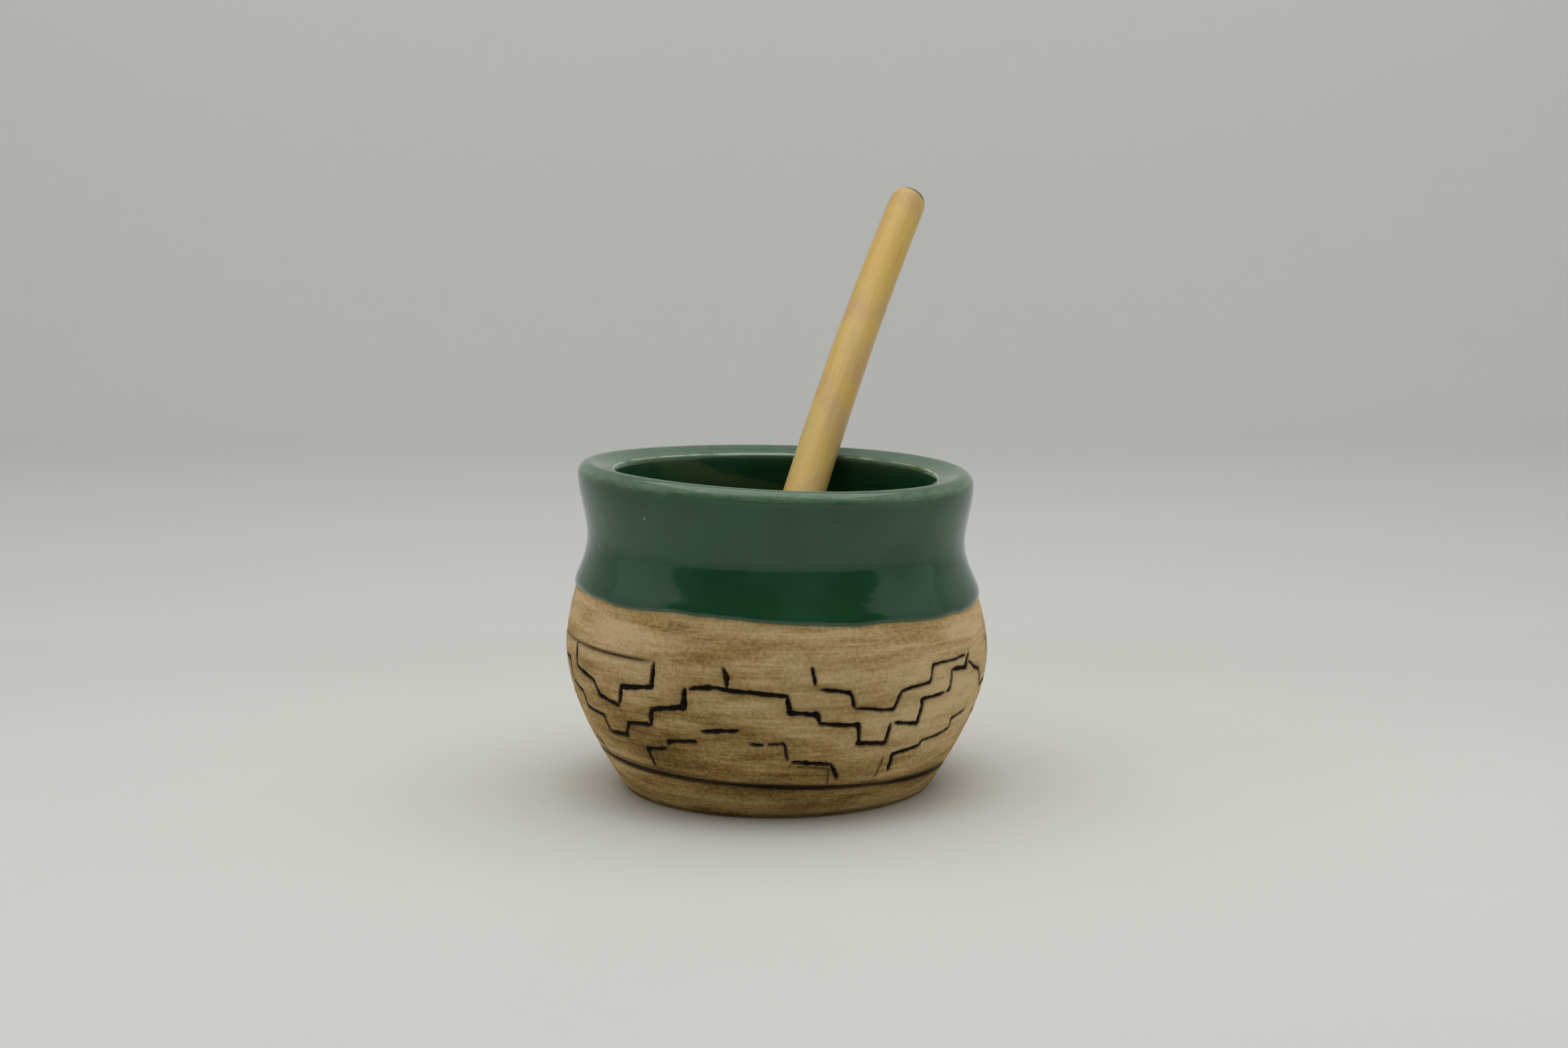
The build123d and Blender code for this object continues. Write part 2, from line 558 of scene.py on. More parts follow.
@dataclass(frozen=True)
class StainFinish:
    """Dull black stain, crumbly where it lies thin."""

    black: Colour = (0.006, 0.005, 0.004)
    brown: Colour = (0.040, 0.022, 0.009)

    def material(self) -> bpy.types.Material:
        """Builds the stain's material.

        Returns:
            The material.
        """
        material, shader, surface = new_material("black stain")
        place = shader.node("ShaderNodeTexCoord").outputs["Object"]
        crumbs = shader.cloud(place, 0.7 * MM, 3.0)
        patches = shader.cloud(place, 5.0 * MM, 2.0)
        rubbed = shader.spread(patches, 0.4, 0.65)
        worn = shader.math("MULTIPLY", shader.spread(crumbs, 0.45, 0.7), rubbed)
        shader.put(surface.inputs["Base Color"], shader.mix(worn, self.black, self.brown))
        shader.put(surface.inputs["Roughness"], shader.spread(crumbs, 0.3, 0.7, 0.7, 0.9))
        shader.put(surface.inputs["Specular IOR Level"], 0.12)
        shader.put(surface.inputs["Normal"], shader.bump(crumbs, 0.08))
        return material


@dataclass(frozen=True)
class CaneFinish:
    """Polished golden cane with fine lengthwise fibres and a scorched cut end."""

    gold: Colour = (0.74, 0.475, 0.095)
    straw: Colour = (0.78, 0.54, 0.150)
    blush: Colour = (0.68, 0.43, 0.165)
    fibre: Colour = (0.31, 0.185, 0.045)
    scorch: Colour = (0.045, 0.020, 0.008)
    pith: Colour = (0.56, 0.42, 0.22)

    def material(self) -> bpy.types.Material:
        """Builds the cane's material.

        Returns:
            The material.
        """
        material, shader, surface = new_material("golden cane")
        grain = shader.stored("grain", vector=True)
        fibres = shader.drawn(shader.scaled(grain, (1.0, 1.0, 0.02)), 0.42, 0.42)
        hair = shader.drawn(shader.scaled(grain, (1.0, 1.0, 0.03)), 0.16, 0.3, 4.0)
        sides = shader.cloud(shader.scaled(grain, (1.0, 1.0, 0.16)), 5.0, 2.0)
        bands = shader.cloud(shader.scaled(grain, (0.6, 0.6, 0.35), 9.0), 6.0, 2.0)
        colour = shader.mix(shader.spread(sides, 0.38, 0.64), self.gold, self.straw)
        colour = shader.mix(shader.spread(bands, 0.44, 0.60, 0.0, 0.9), colour, self.blush)
        colour = shader.mix(shader.spread(fibres, 0.50, 0.30, 0.0, 0.35), colour, self.fibre)
        colour = shader.mix(shader.spread(hair, 0.44, 0.28, 0.0, 0.4), colour, self.fibre)
        colour = shader.mix(shader.stored("inside"), colour, self.pith)
        colour = shader.mix(shader.stored("scorch"), colour, self.scorch)
        shader.put(surface.inputs["Base Color"], colour)
        shader.put(surface.inputs["Roughness"], shader.spread(hair, 0.3, 0.7, 0.30, 0.42))
        shader.put(surface.inputs["Specular IOR Level"], 0.4)
        shader.put(surface.inputs["Normal"], shader.bump(shader.math("ADD", fibres, hair), 0.05))
        return material


@dataclass(frozen=True)
class PaperFinish:
    """Matt off-white card of the table and the backdrop."""

    name: str
    tint: Colour
    shade: Colour
    # Paler colour a backdrop is painted towards higher up: painted light, in place of light falling on
    # it.
    high: Colour | None = None
    one_way: bool = False

    def material(self) -> bpy.types.Material:
        """Builds the card's material; a one-way card isn't seen from its back.

        Returns:
            The material.
        """
        material, shader, surface = new_material(self.name)
        place = shader.node("ShaderNodeTexCoord").outputs["Object"]
        cloud = shader.cloud(place, 0.09, 4.0)
        colour = shader.mix(shader.spread(cloud, 0.3, 0.7), self.shade, self.tint)
        # Painted light: the backdrop turns paler as it rises, standing in for the light falling on it.
        if self.high:
            parts = shader.node("ShaderNodeSeparateXYZ")
            shader.put(parts.inputs[0], place)
            painted_light_rise = shader.math("ADD", parts.outputs["Y"], parts.outputs["Z"])
            colour = shader.mix(shader.spread(painted_light_rise, 0.13, 0.27), colour, self.high)
        shader.put(surface.inputs["Base Color"], colour)
        shader.put(surface.inputs["Roughness"], 0.9)
        shader.put(surface.inputs["Specular IOR Level"], 0.2)
        if self.one_way:
            back = shader.node("ShaderNodeNewGeometry").outputs["Backfacing"]
            either = shader.node("ShaderNodeMixShader")
            shader.put(either.inputs[0], back)
            shader.put(either.inputs[1], surface.outputs[0])
            shader.put(either.inputs[2], shader.node("ShaderNodeBsdfTransparent").outputs[0])
            output = material.node_tree.nodes["Material Output"]
            shader.put(output.inputs["Surface"], either.outputs[0])
        return material


# --------------------------------------------------------------------------- the thrown shape


@dataclass
class ThrownShape:
    """Section of the pot and the unevenness of a pot made by hand."""

    foot: Point2 = (31.0, 0.0)
    flare: Point2 = (37.0, 10.0)
    belly: Point2 = (42.5, 29.0)
    glaze_edge: Point2 = (40.6, 39.3)
    shoulder: Point2 = (38.9, 44.0)
    waist: Point2 = (37.6, 48.6)
    lip: Point2 = (39.2, 62.0)
    rim_rounding: float = 2.0
    rim_slope: float = 16.0
    mouth_radius: float = 32.4
    mouth_rounding: float = 1.1
    neck: Point2 = (33.1, 50.0)
    hollow: Point2 = (37.2, 30.0)
    heel: Point2 = (34.6, 16.0)
    floor_corner: Point2 = (30.0, 8.4)
    floor_edge: Point2 = (23.0, 5.6)
    flaring: Point2 = (0.68, 1.0)
    upward: Point2 = (-0.28, 1.0)
    foot_rounding: float = 0.9
    coat: float = 0.4
    askew: float = 0.0385
    askew_height: float = 66.0
    wave: Point2 = (0.257, 0.123)
    wave_from: float = 45.0
    wave_full: float = 63.0

    def __post_init__(self) -> None:
        """Runs the outside wall's curve once."""
        bare = smooth_run([self.foot, self.flare, self.belly, self.glaze_edge], self.flaring, self.upward)
        high = [self.glaze_edge, self.shoulder, self.waist, self.lip]
        self.wall = np.vstack((bare[:-1], smooth_run(high, self.upward, (0.0, 1.0))))

    def wall_radius(self, height: np.ndarray) -> np.ndarray:
        """Radius of the outside wall at a height."""
        return np.interp(height, self.wall[:, 1], self.wall[:, 0])

    def rim_and_inside(self, coat: float, counts: tuple[int, int, int, int]) -> np.ndarray:
        """Section from the lip over the rim and down the inside to the middle of the floor.

        Args:
            coat: thickness of glaze that the line lies above the clay.
            counts: points on the lip's rounding, the mouth's rounding, the inside and the floor.

        Returns:
            (radius, height) points.
        """
        slope = math.radians(self.rim_slope)
        crown = (self.lip[0] - self.rim_rounding, self.lip[1])
        lip = round_corner(crown, self.rim_rounding + coat, 0, 90 + self.rim_slope, counts[0])
        across = crown[0] - self.mouth_radius - self.mouth_rounding
        rise = (self.rim_rounding - self.mouth_rounding) / math.cos(slope) - across * math.tan(slope)
        turn = (self.mouth_radius + self.mouth_rounding, crown[1] + rise)
        mouth = round_corner(turn, self.mouth_rounding + coat, 90 + self.rim_slope, 180, counts[1])
        top = np.linspace(lip[-1], mouth[0], 6)[1:-1]
        inner = [(r - coat, z) for r, z in (self.neck, self.hollow, self.heel, self.floor_corner)]
        run = [tuple(mouth[-1]), *inner, (self.floor_edge[0], self.floor_edge[1] + coat)]
        inside = even_out(smooth_run(run, (0.0, -1.0), (-1.0, 0.0)), counts[2])
        floor = np.linspace(self.floor_edge[0], 0.0, counts[3] + 1)[1:]
        flat = np.column_stack((floor, np.full(len(floor), self.floor_edge[1] + coat)))
        return np.vstack((lip, top, mouth, inside[1:], flat))

    def place(self, angle: np.ndarray, radius: np.ndarray, height: np.ndarray) -> np.ndarray:
        """Puts section points in space, with the lean and the wavy rim of the thrown pot.

        Args:
            angle: degrees from the front.
            radius: distance from the axis.
            height: height on an even pot.

        Returns:
            Points in millimetres, one row each.
        """
        turn = np.radians(angle)
        x = radius * np.sin(turn)
        y = -radius * np.cos(turn)
        high = np.clip((height - self.wave_from) / (self.wave_full - self.wave_from), 0.0, 1.2)
        round_about = np.arctan2(y, x)
        wavy = self.wave[0] * np.sin(2 * round_about) + self.wave[1] * np.cos(2 * round_about)
        lean = -self.askew * np.clip(height, 0.0, None) / self.askew_height * x
        return np.column_stack((x, y, height + lean + high * wavy))


# --------------------------------------------------------------------------- the incised border


@dataclass(frozen=True)
class Stroke:
    """One stroke of the border, as corners of (degrees from the front, height)."""

    corners: tuple[Point2, ...]
    half_width: float = 0.46
    depth: float = 0.55
    black: float = 1.0


FRONT_STROKES = (
    Stroke(((-67, 31), (-67.3, 26.4), (-57, 25.1), (-55, 22.3), (-46.5, 21.3))),
    Stroke(((-46.5, 21.6), (-44.4, 25.4), (-34, 26.3), (-33, 30.9)), 0.5),
    Stroke(((-73, 22.8), (-65.6, 21.4), (-65.2, 18.7), (-55.8, 18.2), (-54.6, 14.9)), 0.38),
    Stroke(((-54.6, 14.9), (-46.8, 15.3), (-44.7, 18.1), (-35.8, 18.8)), 0.42),
    Stroke(((-35.8, 18.9), (-34.7, 22), (-24.8, 23.2), (-23.8, 27)), 0.6, 0.62),
    Stroke(((-22.6, 27), (-17.5, 27.6), (-13, 27.3), (2.8, 26.4)), 0.46),
    Stroke(((2.8, 26.4), (3.4, 23.1), (10.3, 22.7), (11.3, 20.8)), 0.54),
    Stroke(((11.3, 20.8), (21.9, 20), (22.7, 16.2), (31.1, 15.5), (31.7, 19.6)), 0.47),
    Stroke(((32.9, 19.7), (41, 18.8), (41.3, 23.7), (49.6, 24.1)), 0.4),
    Stroke(((50.5, 24.2), (52.1, 24.6), (52.4, 28.4)), 0.34),
    Stroke(((52.9, 28.5), (59.5, 28), (61.5, 30.6)), 0.55),
    Stroke(((61.4, 29.0), (66.0, 27.2), (69.3, 26.4), (73.6, 22.1)), 0.3, 0.4),
    Stroke(((-12.7, 27.6), (-12.4, 29.6), (-13.5, 31.3)), 0.44),
    Stroke(((9.2, 31.7), (9.7, 28.6)), 0.34),
    Stroke(((11.2, 27.6), (19, 26.7), (20.5, 23.5)), 0.4),
    Stroke(((20.5, 23.5), (31.9, 22.5), (33.7, 26)), 0.32, 0.45),
    Stroke(((33.7, 26), (37, 26.4), (43.6, 26.9), (44.8, 30.2), (59.5, 30.4)), 0.27, 0.35),
    Stroke(((-39.4, 9.9), (-39.9, 13.3), (-32.8, 14.1)), 0.42),
    Stroke(((-31.6, 15.0), (-31.2, 15.9), (-22.2, 16.4)), 0.36),
    Stroke(((-20.3, 18.7), (-10.1, 19.4)), 0.55),
    Stroke(((-7, 16.7), (-3.6, 16.6)), 0.3, 0.4),
    Stroke(((-2.2, 16.6), (2.2, 16.9), (2.9, 13.2)), 0.27, 0.35),
    Stroke(((4.2, 12.9), (8.2, 12.5), (15.4, 12.0)), 0.42),
    Stroke(((15.4, 12.2), (18.3, 8.7)), 0.42),
    Stroke(((5.6, 11.8), (15.1, 11.2), (15.4, 7.8)), 0.16, 0.25, 0.5),
    Stroke(((31.3, 8), (32.3, 12.4)), 0.17, 0.25, 0.5),
    Stroke(((35.7, 9.2), (34.9, 12.7), (44.3, 13.6), (45.3, 14.6)), 0.45),
    Stroke(((45.3, 14.7), (52.8, 14.9), (57.1, 15.6), (56.9, 17.9), (64.1, 18.4)), 0.28, 0.4),
    Stroke(((-70.5, 12), (-65.6, 10.8), (-65.6, 8.9)), 0.3),
    Stroke(((-29.6, 37.6), (-28.6, 39.2)), 0.12, 0.12, 0.0),
    Stroke(((-27.4, 37.2), (-26.2, 38.9)), 0.12, 0.12, 0.0),
    Stroke(((-25.3, 37.4), (-23.2, 38.4)), 0.14, 0.12, 0.0),
    Stroke(((-30.8, 37.0), (-24.6, 38.1)), 0.10, 0.10, 0.0),
)

# One repeat of the border, from the middle of its valley, for the side and the back of the cup.
REPEAT_STROKES = (
    Stroke(((-25, 22.8), (-14, 22.9), (-14.3, 19.2), (-4.5, 18.8), (-4.8, 15.5), (4.4, 15.6)), 0.44),
    Stroke(((4.4, 15.6), (4.7, 19), (14, 19.2), (14.2, 23), (25, 23.1), (25.3, 27)), 0.5),
    Stroke(((26.0, 27.1), (45.4, 26.7), (46, 23)), 0.46),
    Stroke(((-16.8, 31), (-16.2, 26.8), (-6.2, 26.4), (-5.9, 22.6), (6, 22.2)), 0.42),
    Stroke(((6, 22.2), (6.3, 26.4), (16.2, 26.8), (16.8, 31)), 0.36),
    Stroke(((35.4, 27.1), (35.9, 31.2)), 0.42),
    Stroke(((-24, 16.8), (-15.2, 16.4), (-14.9, 12.8), (-8.7, 12.5), (-8.4, 9.3)), 0.34),
    Stroke(((8.6, 9.2), (8.3, 12.9), (15.1, 13.2), (15.4, 16.1), (24, 16.3)), 0.4),
    Stroke(((27.5, 19.2), (43.2, 18.8)), 0.48),
)
REPEAT_MIDDLES = (98.0, 169.0, 240.0)
# The last repeat runs into the front's own strokes and goes without these two, by their number.
LEFT_OUT = (2, 8)
# The two strokes that join it to the front.
SIDE_STROKES = (
    Stroke(((-94.6, 27.1), (-74.2, 26.8), (-73.4, 23.0)), 0.42),
    Stroke(((-92.0, 19.2), (-78.0, 18.8)), 0.45),
)


@dataclass
class Border:
    """The incised border: every stroke of it as closely spaced places with a width and a depth."""

    shape: ThrownShape
    mean_radius: float = 40.0
    step: float = 0.1
    weight: float = 0.80
    softness: float = 0.45
    front_shake: float = 0.12
    side_shake: float = 0.3
    repeat_shake: float = 0.45
    tremble: Point2 = (0.18, 0.07)
    ragged: Point2 = (0.5, 0.34)
    blot: Point2 = (0.45, 0.55)
    chains: list[np.ndarray] = field(default_factory=list)

    def __post_init__(self) -> None:
        """Draws the front's own strokes and the repeats behind, and sorts their places."""
        for number, stroke in enumerate(FRONT_STROKES):
            self.draw(stroke, 0.0, self.front_shake, number)
        for repeat, middle in enumerate(REPEAT_MIDDLES):
            for number, stroke in enumerate(REPEAT_STROKES):
                if middle == REPEAT_MIDDLES[-1] and number in LEFT_OUT:
                    continue
                self.draw(stroke, middle, self.repeat_shake, 40 + 10 * repeat + number)
        for number, stroke in enumerate(SIDE_STROKES):
            self.draw(stroke, 0.0, self.side_shake, 80 + number)
        self.samples = np.vstack(self.chains)
        self.tree = kdtree.KDTree(3 * len(self.samples))
        for copy, turn in enumerate((0.0, 360.0, -360.0)):
            for row, (angle, height, *_) in enumerate(self.samples):
                place = (math.radians(angle + turn) * self.mean_radius, height, 0.0)
                self.tree.insert(place, row + copy * len(self.samples))
        self.tree.balance()

    def draw(self, stroke: Stroke, turn: float, shake: float, seed: int) -> None:
        """Draws one stroke with an unsteady hand.

        Args:
            stroke: the stroke.
            turn: degrees to turn it round the cup.
            shake: millimetres that its corners may miss by.
            seed: number that makes it differ from the others.
        """
        per_degree = math.radians(1.0) * self.mean_radius
        slow, quick = self.tremble
        broad, short = self.ragged
        wider, reach = self.blot
        corners = []
        for k, (angle, height) in enumerate(stroke.corners):
            miss = (wobble(k * 3.3, 1.0, seed + 0.4) * shake, wobble(k * 2.9, 1.0, seed + 0.9) * shake)
            corners.append(((angle + turn) * per_degree + miss[0], height + miss[1]))
        corners = np.array(corners)
        legs = np.linalg.norm(np.diff(corners, axis=0), axis=1)
        along = np.concatenate(([0.0], np.cumsum(legs)))
        places = np.linspace(0.0, along[-1], max(8, int(along[-1] / self.step)))
        flat = np.column_stack([np.interp(places, along, corners[:, k]) for k in range(2)])
        flat = self.rounded(flat, int(self.softness / self.step))
        rows = []
        for place, (arc, height) in zip(places, flat):
            arc += slow * wobble(place, 2.1, seed + 0.1) + quick * wobble(place, 0.6, seed + 0.2)
            height += slow * wobble(place, 2.3, seed + 0.3) + quick * wobble(place, 0.7, seed + 0.5)
            ends = min(place, along[-1] - place) / (2.2 * stroke.half_width)
            taper = 0.55 + 0.45 * min(1.0, ends)
            corner = np.min(np.abs(along[1:-1] - place)) if len(along) > 2 else 9.0
            blob = 1.0 + wider * math.exp(-((corner / reach) ** 2))
            rough = 1.0 + broad * wobble(place, 1.9, seed + 0.6) + short * wobble(place, 0.5, seed + 0.7)
            depth = stroke.depth * (1.0 + 0.25 * wobble(place, 3.0, seed + 0.8))
            half = self.weight * stroke.half_width * taper * blob * rough
            rows.append((arc / per_degree, height, half, depth * min(1.0, taper + 0.1), stroke.black))
        self.chains.append(np.array(rows))

    def rounded(self, line: np.ndarray, reach: int) -> np.ndarray:
        """Rounds a line's corners.

        Args:
            line: the line's places.
            reach: how many places each side take part.

        Returns:
            The rounded line, with as many places.
        """
        padded = np.vstack((np.repeat(line[:1], reach, 0), line, np.repeat(line[-1:], reach, 0)))
        count = 2 * reach + 1
        return sum(padded[k : k + len(line)] for k in range(count)) / count

    def nearest(self, angle: float, height: float) -> tuple[float, np.ndarray]:
        """Finds the nearest place of a stroke.

        Args:
            angle: degrees from the front.
            height: height on an even pot.

        Returns:
            How far away it is, and its row of samples.
        """
        arc = math.radians(angle) * self.mean_radius
        _, index, distance = self.tree.find((arc, height, 0.0))
        return distance, self.samples[index % len(self.samples)]

    def line_mesh(self) -> bpy.types.Object:
        """Makes a helper mesh of the strokes that hold stain.

        Returns:
            Chains of edges on the wall, each point with its half width.
        """
        points, edges, halves = [], [], []
        for chain in self.chains:
            if chain[0, 4] == 0.0:
                continue
            thin = chain[::2]
            first = len(halves)
            points.append(self.shape.place(thin[:, 0], self.shape.wall_radius(thin[:, 1]), thin[:, 1]))
            halves.extend(thin[:, 2] * (0.4 + 0.6 * thin[:, 4]))
            edges.extend((first + k, first + k + 1) for k in range(len(thin) - 1))
        mesh = bpy.data.meshes.new("stroke_lines")
        mesh.from_pydata((np.vstack(points) * MM).tolist(), edges, [])
        lines = bpy.data.objects.new("stroke_lines", mesh)
        bpy.context.scene.collection.objects.link(lines)
        store(lines, "half_width", np.array(halves) * MM)
        return lines


# --------------------------------------------------------------------------- the fired clay


@dataclass(frozen=True)
class Groove:
    """A line turned round the wall: its height, its width and the spans of degrees it shows in."""

    height: float
    lean: float
    half_width: float
    depth: float
    # How much darker the clay is in and beside the groove.
    darkening: float
    shown: tuple[Point2, ...] = ()

    def middle(self, angle: np.ndarray) -> np.ndarray:
        """Height of the groove at each angle."""
        turn = np.radians(angle)
        return self.height - self.lean * np.sin(turn) + 0.12 * np.sin(3 * turn + 0.8)

    def strength(self, angle: np.ndarray) -> np.ndarray:
        """Finds how deep the groove is.

        Args:
            angle: degrees from the front.

        Returns:
            A share from 0 to 1 at each angle.
        """
        uneven = 0.84 + 0.16 * np.sin(np.radians(angle) * 7.0 + 1.1)
        if not self.shown:
            return uneven
        angle = (np.asarray(angle) + 180.0) % 360.0 - 180.0
        share = np.zeros_like(angle, dtype=float)
        for start, end in self.shown:
            middle, half = (start + end) / 2, (end - start) / 2
            away = np.abs((angle - middle + 180.0) % 360.0 - 180.0)
            share = np.maximum(share, np.clip((half - away) / 9.0, 0.0, 1.0))
        return share * uneven


GROOVES = (
    Groove(7.2, 1.78, 0.50, 0.60, 1.5),
    Groove(8.3, 2.3, 0.22, 0.16, 0.75, ((18.0, 84.0),)),
    Groove(8.15, 1.9, 0.20, 0.14, 0.7, ((285.0, 348.0),)),
    Groove(31.25, 0.0, 0.36, 0.40, 0.95, ((74.0, 331.0),)),
)

# Where the brown wash was left or wiped away: (degrees, height, spread, rise, amount).
WASH_PATCHES = (
    (-10.0, 33.0, 16.0, 5.0, -0.12),
    (-48.0, 18.0, 26.0, 6.0, -0.22),
    (-15.0, 14.0, 34.0, 6.0, -0.22),
    (10.0, 4.5, 75.0, 4.5, -0.20),
    (58.0, 22.0, 24.0, 10.0, 0.34),
    (10.0, 33.0, 60.0, 8.0, 0.10),
    (38.0, 20.0, 12.0, 4.0, 0.16),
    (-4.0, 23.0, 14.0, 2.5, 0.10),
    (-60.0, 35.5, 26.0, 3.0, 0.16),
    (70.0, 36.0, 26.0, 4.0, 0.22),
    (130.0, 24.0, 28.0, 8.0, 0.14),
    (-150.0, 16.0, 34.0, 7.0, -0.18),
    (-110.0, 30.0, 26.0, 7.0, 0.12),
    (175.0, 34.0, 30.0, 5.0, -0.10),
)


@dataclass
class ClayBody:
    """The fired clay: one closed mesh, finer along every stroke and groove."""

    shape: ThrownShape
    border: Border
    columns: int = 308
    rows: int = 47
    finer: int = 4
    low: float = 0.394
    top: float = 42.1
    stroke_margin: float = 0.58
    groove_margin: float = 0.62
    widest: float = 42.49
    foot_turn: Point2 = (30.524, 0.9)
    foot_from: float = -34.2
    underside: Point2 = (29.6, 4.0)

    def heights(self, level: np.ndarray) -> np.ndarray:
        """Height of a fine row of the wall."""
        return self.low + (self.top - self.low) * level / (self.rows * self.finer)

    def find_fine_cells(self) -> tuple[np.ndarray, np.ndarray]:
        """Marks the cells that a stroke or a groove needs finer.

        Returns:
            Two grids of (row, column) marks: the cells near a stroke, and all the fine cells.
        """
        near = np.zeros((self.rows, self.columns), bool)
        tall = (self.top - self.low) / self.rows
        wide = 360.0 / self.columns
        side = math.degrees(self.stroke_margin / self.border.mean_radius)

        def rows_near(height: float, margin: float) -> slice:
            """Finds the rows within a margin of a height.

            Args:
                height: the height on an even pot.
                margin: how far above and below it counts, in millimetres.

            Returns:
                Their slice.
            """
            first = max(0, int((height - margin - self.low) / tall))
            last = min(self.rows - 1, int((height + margin - self.low) / tall))
            return slice(first, last + 1)

        for angle, height, *_ in self.border.samples:
            first = int(math.floor((angle - side) / wide))
            last = int(math.floor((angle + side) / wide))
            band = rows_near(height, self.stroke_margin)
            for column in range(first, last + 1):
                near[band, column % self.columns] = True
        fine = near.copy()
        for column in range(self.columns):
            angle = (column + 0.5) * wide
            for groove in GROOVES:
                if groove.strength(np.array([angle]))[0] <= 0.0:
                    continue
                middle = float(groove.middle(np.array(angle)))
                fine[rows_near(middle, self.groove_margin), column] = True
        return near, fine

    def inset(self, angle: np.ndarray, height: np.ndarray) -> tuple[np.ndarray, np.ndarray]:
        """How deep the tools cut at each place, and how dark the clay is there, with a painted shadow at
        the foot.

        Args:
            angle: degrees from the front.
            height: height on an even pot.

        Returns:
            Depth in millimetres and darkness from 0 to 1.
        """
        depth = np.zeros(len(angle))
        dark = np.zeros(len(angle))
        for k, (a, z) in enumerate(zip(angle, height)):
            distance, (_, _, half, deep, black) = self.border.nearest(a, z)
            share = distance / (half * 1.12)
            if share < 1.0:
                depth[k] = deep * (1.0 - share**2) ** 1.1
            elif share < 2.2:
                depth[k] = -0.05 * math.sin(math.pi * (share - 1.0) / 1.2) * black
            halo = max(0.0, distance - half * 0.8)
            dark[k] = (0.35 + 0.40 * black) * math.exp(-((halo / 0.26) ** 2))
            dark[k] += 0.12 * black * math.exp(-((halo / 1.3) ** 2))
        for groove in GROOVES:
            strength = groove.strength(angle)
            away = np.abs(height - groove.middle(angle)) / groove.half_width
            depth += groove.depth * strength * np.clip(1.0 - away**2, 0.0, 1.0)
            # Darker in and beside each groove.
            dark = np.maximum(dark, groove.darkening * strength * bell(away, 1.3))
        # Painted contact shadow: a dark line along the foot's lower edge, where the cup meets the table.
        dark = np.maximum(dark, 0.75 * bell(height - 0.3, 0.55))
        return depth, np.clip(dark, 0.0, 1.0)

    def wall_faces(self, fine: np.ndarray, number: dict[tuple[int, int], int]) -> list[tuple[int, ...]]:
        """Faces of the bare wall: small squares in a fine cell, one outline for a plain one.

        Args:
            fine: the marks of the fine cells.
            number: the mesh's point for each place of the fine grid, filled in here.

        Returns:
            The faces.
        """
        f = self.finer
        around = self.columns * f
        faces = []

        def point(column: int, level: int) -> int:
            """The mesh's point at a place of the fine grid."""
            return number.setdefault((column % around, level), len(number))

        def is_fine(row: int, column: int) -> bool:
            """True if that cell is a fine one."""
            return 0 <= row < self.rows and bool(fine[row, column % self.columns])

        for row in range(self.rows):
            for column in range(self.columns):
                c, r = column * f, row * f
                if fine[row, column]:
                    for i in range(f):
                        for j in range(f):
                            faces.append((point(c + i, r + j), point(c + i + 1, r + j),
                                          point(c + i + 1, r + j + 1), point(c + i, r + j + 1)))
                    continue
                below = range(f) if is_fine(row - 1, column) else (0,)
                right = range(f) if is_fine(row, column + 1) else (0,)
                above = range(f) if is_fine(row + 1, column) else (0,)
                left = range(f) if is_fine(row, column - 1) else (0,)
                outline = [point(c + i, r) for i in below]
                outline += [point(c + f, r + j) for j in right]
                outline += [point(c + f - i, r + f) for i in above]
                outline += [point(c, r + f - j) for j in left]
                faces.append(tuple(outline))
        return faces

    def build(self) -> bpy.types.Object:
        """Builds the clay body.

        Returns:
            The piece, closed from the middle of its foot to the middle of its floor inside.
        """
        f = self.finer
        self.near, self.fine = self.find_fine_cells()
        number: dict[tuple[int, int], int] = {}
        faces = self.wall_faces(self.fine, number)
        grid = np.array(list(number.keys()), float)
        angle = grid[:, 0] * 360.0 / (self.columns * f)
        height = self.heights(grid[:, 1])
        depth, dark = self.inset(angle, height)
        turn = np.radians(angle)
        uneven = 0.05 * (1 + np.sin(2 * turn + 1.3 + height * 0.05)) + 0.02 * (1 + np.sin(height * 2.2))
        radius = self.shape.wall_radius(height) - depth - uneven * np.clip(height / 4.0, 0.0, 1.0)
        radius = np.minimum(radius, self.widest)
        parts = [(angle, radius, height)]

        ring_angle = np.arange(self.columns) * 360.0 / self.columns
        lowest = [number[(c * f, 0)] for c in range(self.columns)]
        highest = [number[(c * f, self.rows * f)] for c in range(self.columns)]
        total = len(number)
        under = round_corner(self.foot_turn, self.shape.foot_rounding, self.foot_from, -90, 6)[1:]
        flat = np.column_stack((np.linspace(*self.underside, 9), np.zeros(9)))
        over = self.shape.wall[self.shape.wall[:, 1] > self.top + 0.6]
        over = np.vstack((even_out(over, 9), self.shape.rim_and_inside(0.0, (6, 5, 28, 3))[1:-1]))
        under = np.vstack((under, flat))
        for section, edge, upward in ((under, lowest, False), (over, highest, True)):
            for r, z in section:
                ring = list(range(total, total + self.columns))
                total += self.columns
                parts.append((ring_angle, np.full(self.columns, r), np.full(self.columns, z)))
                for c in range(self.columns):
                    n = (c + 1) % self.columns
                    quad = (edge[c], edge[n], ring[n], ring[c])
                    faces.append(quad if upward else quad[::-1])
                edge = ring
            pole = total
            total += 1
            parts.append((np.zeros(1), np.zeros(1), section[-1:, 1]))
            for c in range(self.columns):
                fan = (edge[c], edge[(c + 1) % self.columns], pole)
                faces.append(fan if upward else fan[::-1])

        angle, radius, height = (np.concatenate([part[k] for part in parts]) for k in range(3))
        places = self.shape.place(angle, radius, height)
        piece = make_piece("clay_body", places, faces)
        even = np.column_stack((places[:, 0], places[:, 1], height))
        store(piece, "turning", even)
        # Darker along the strokes and grooves, and a painted contact shadow along the foot's lower edge.
        store(piece, "darkening", np.concatenate((dark, np.zeros(len(places) - len(dark)))))
        store(piece, "wash", self.wash(angle, height))
        return piece

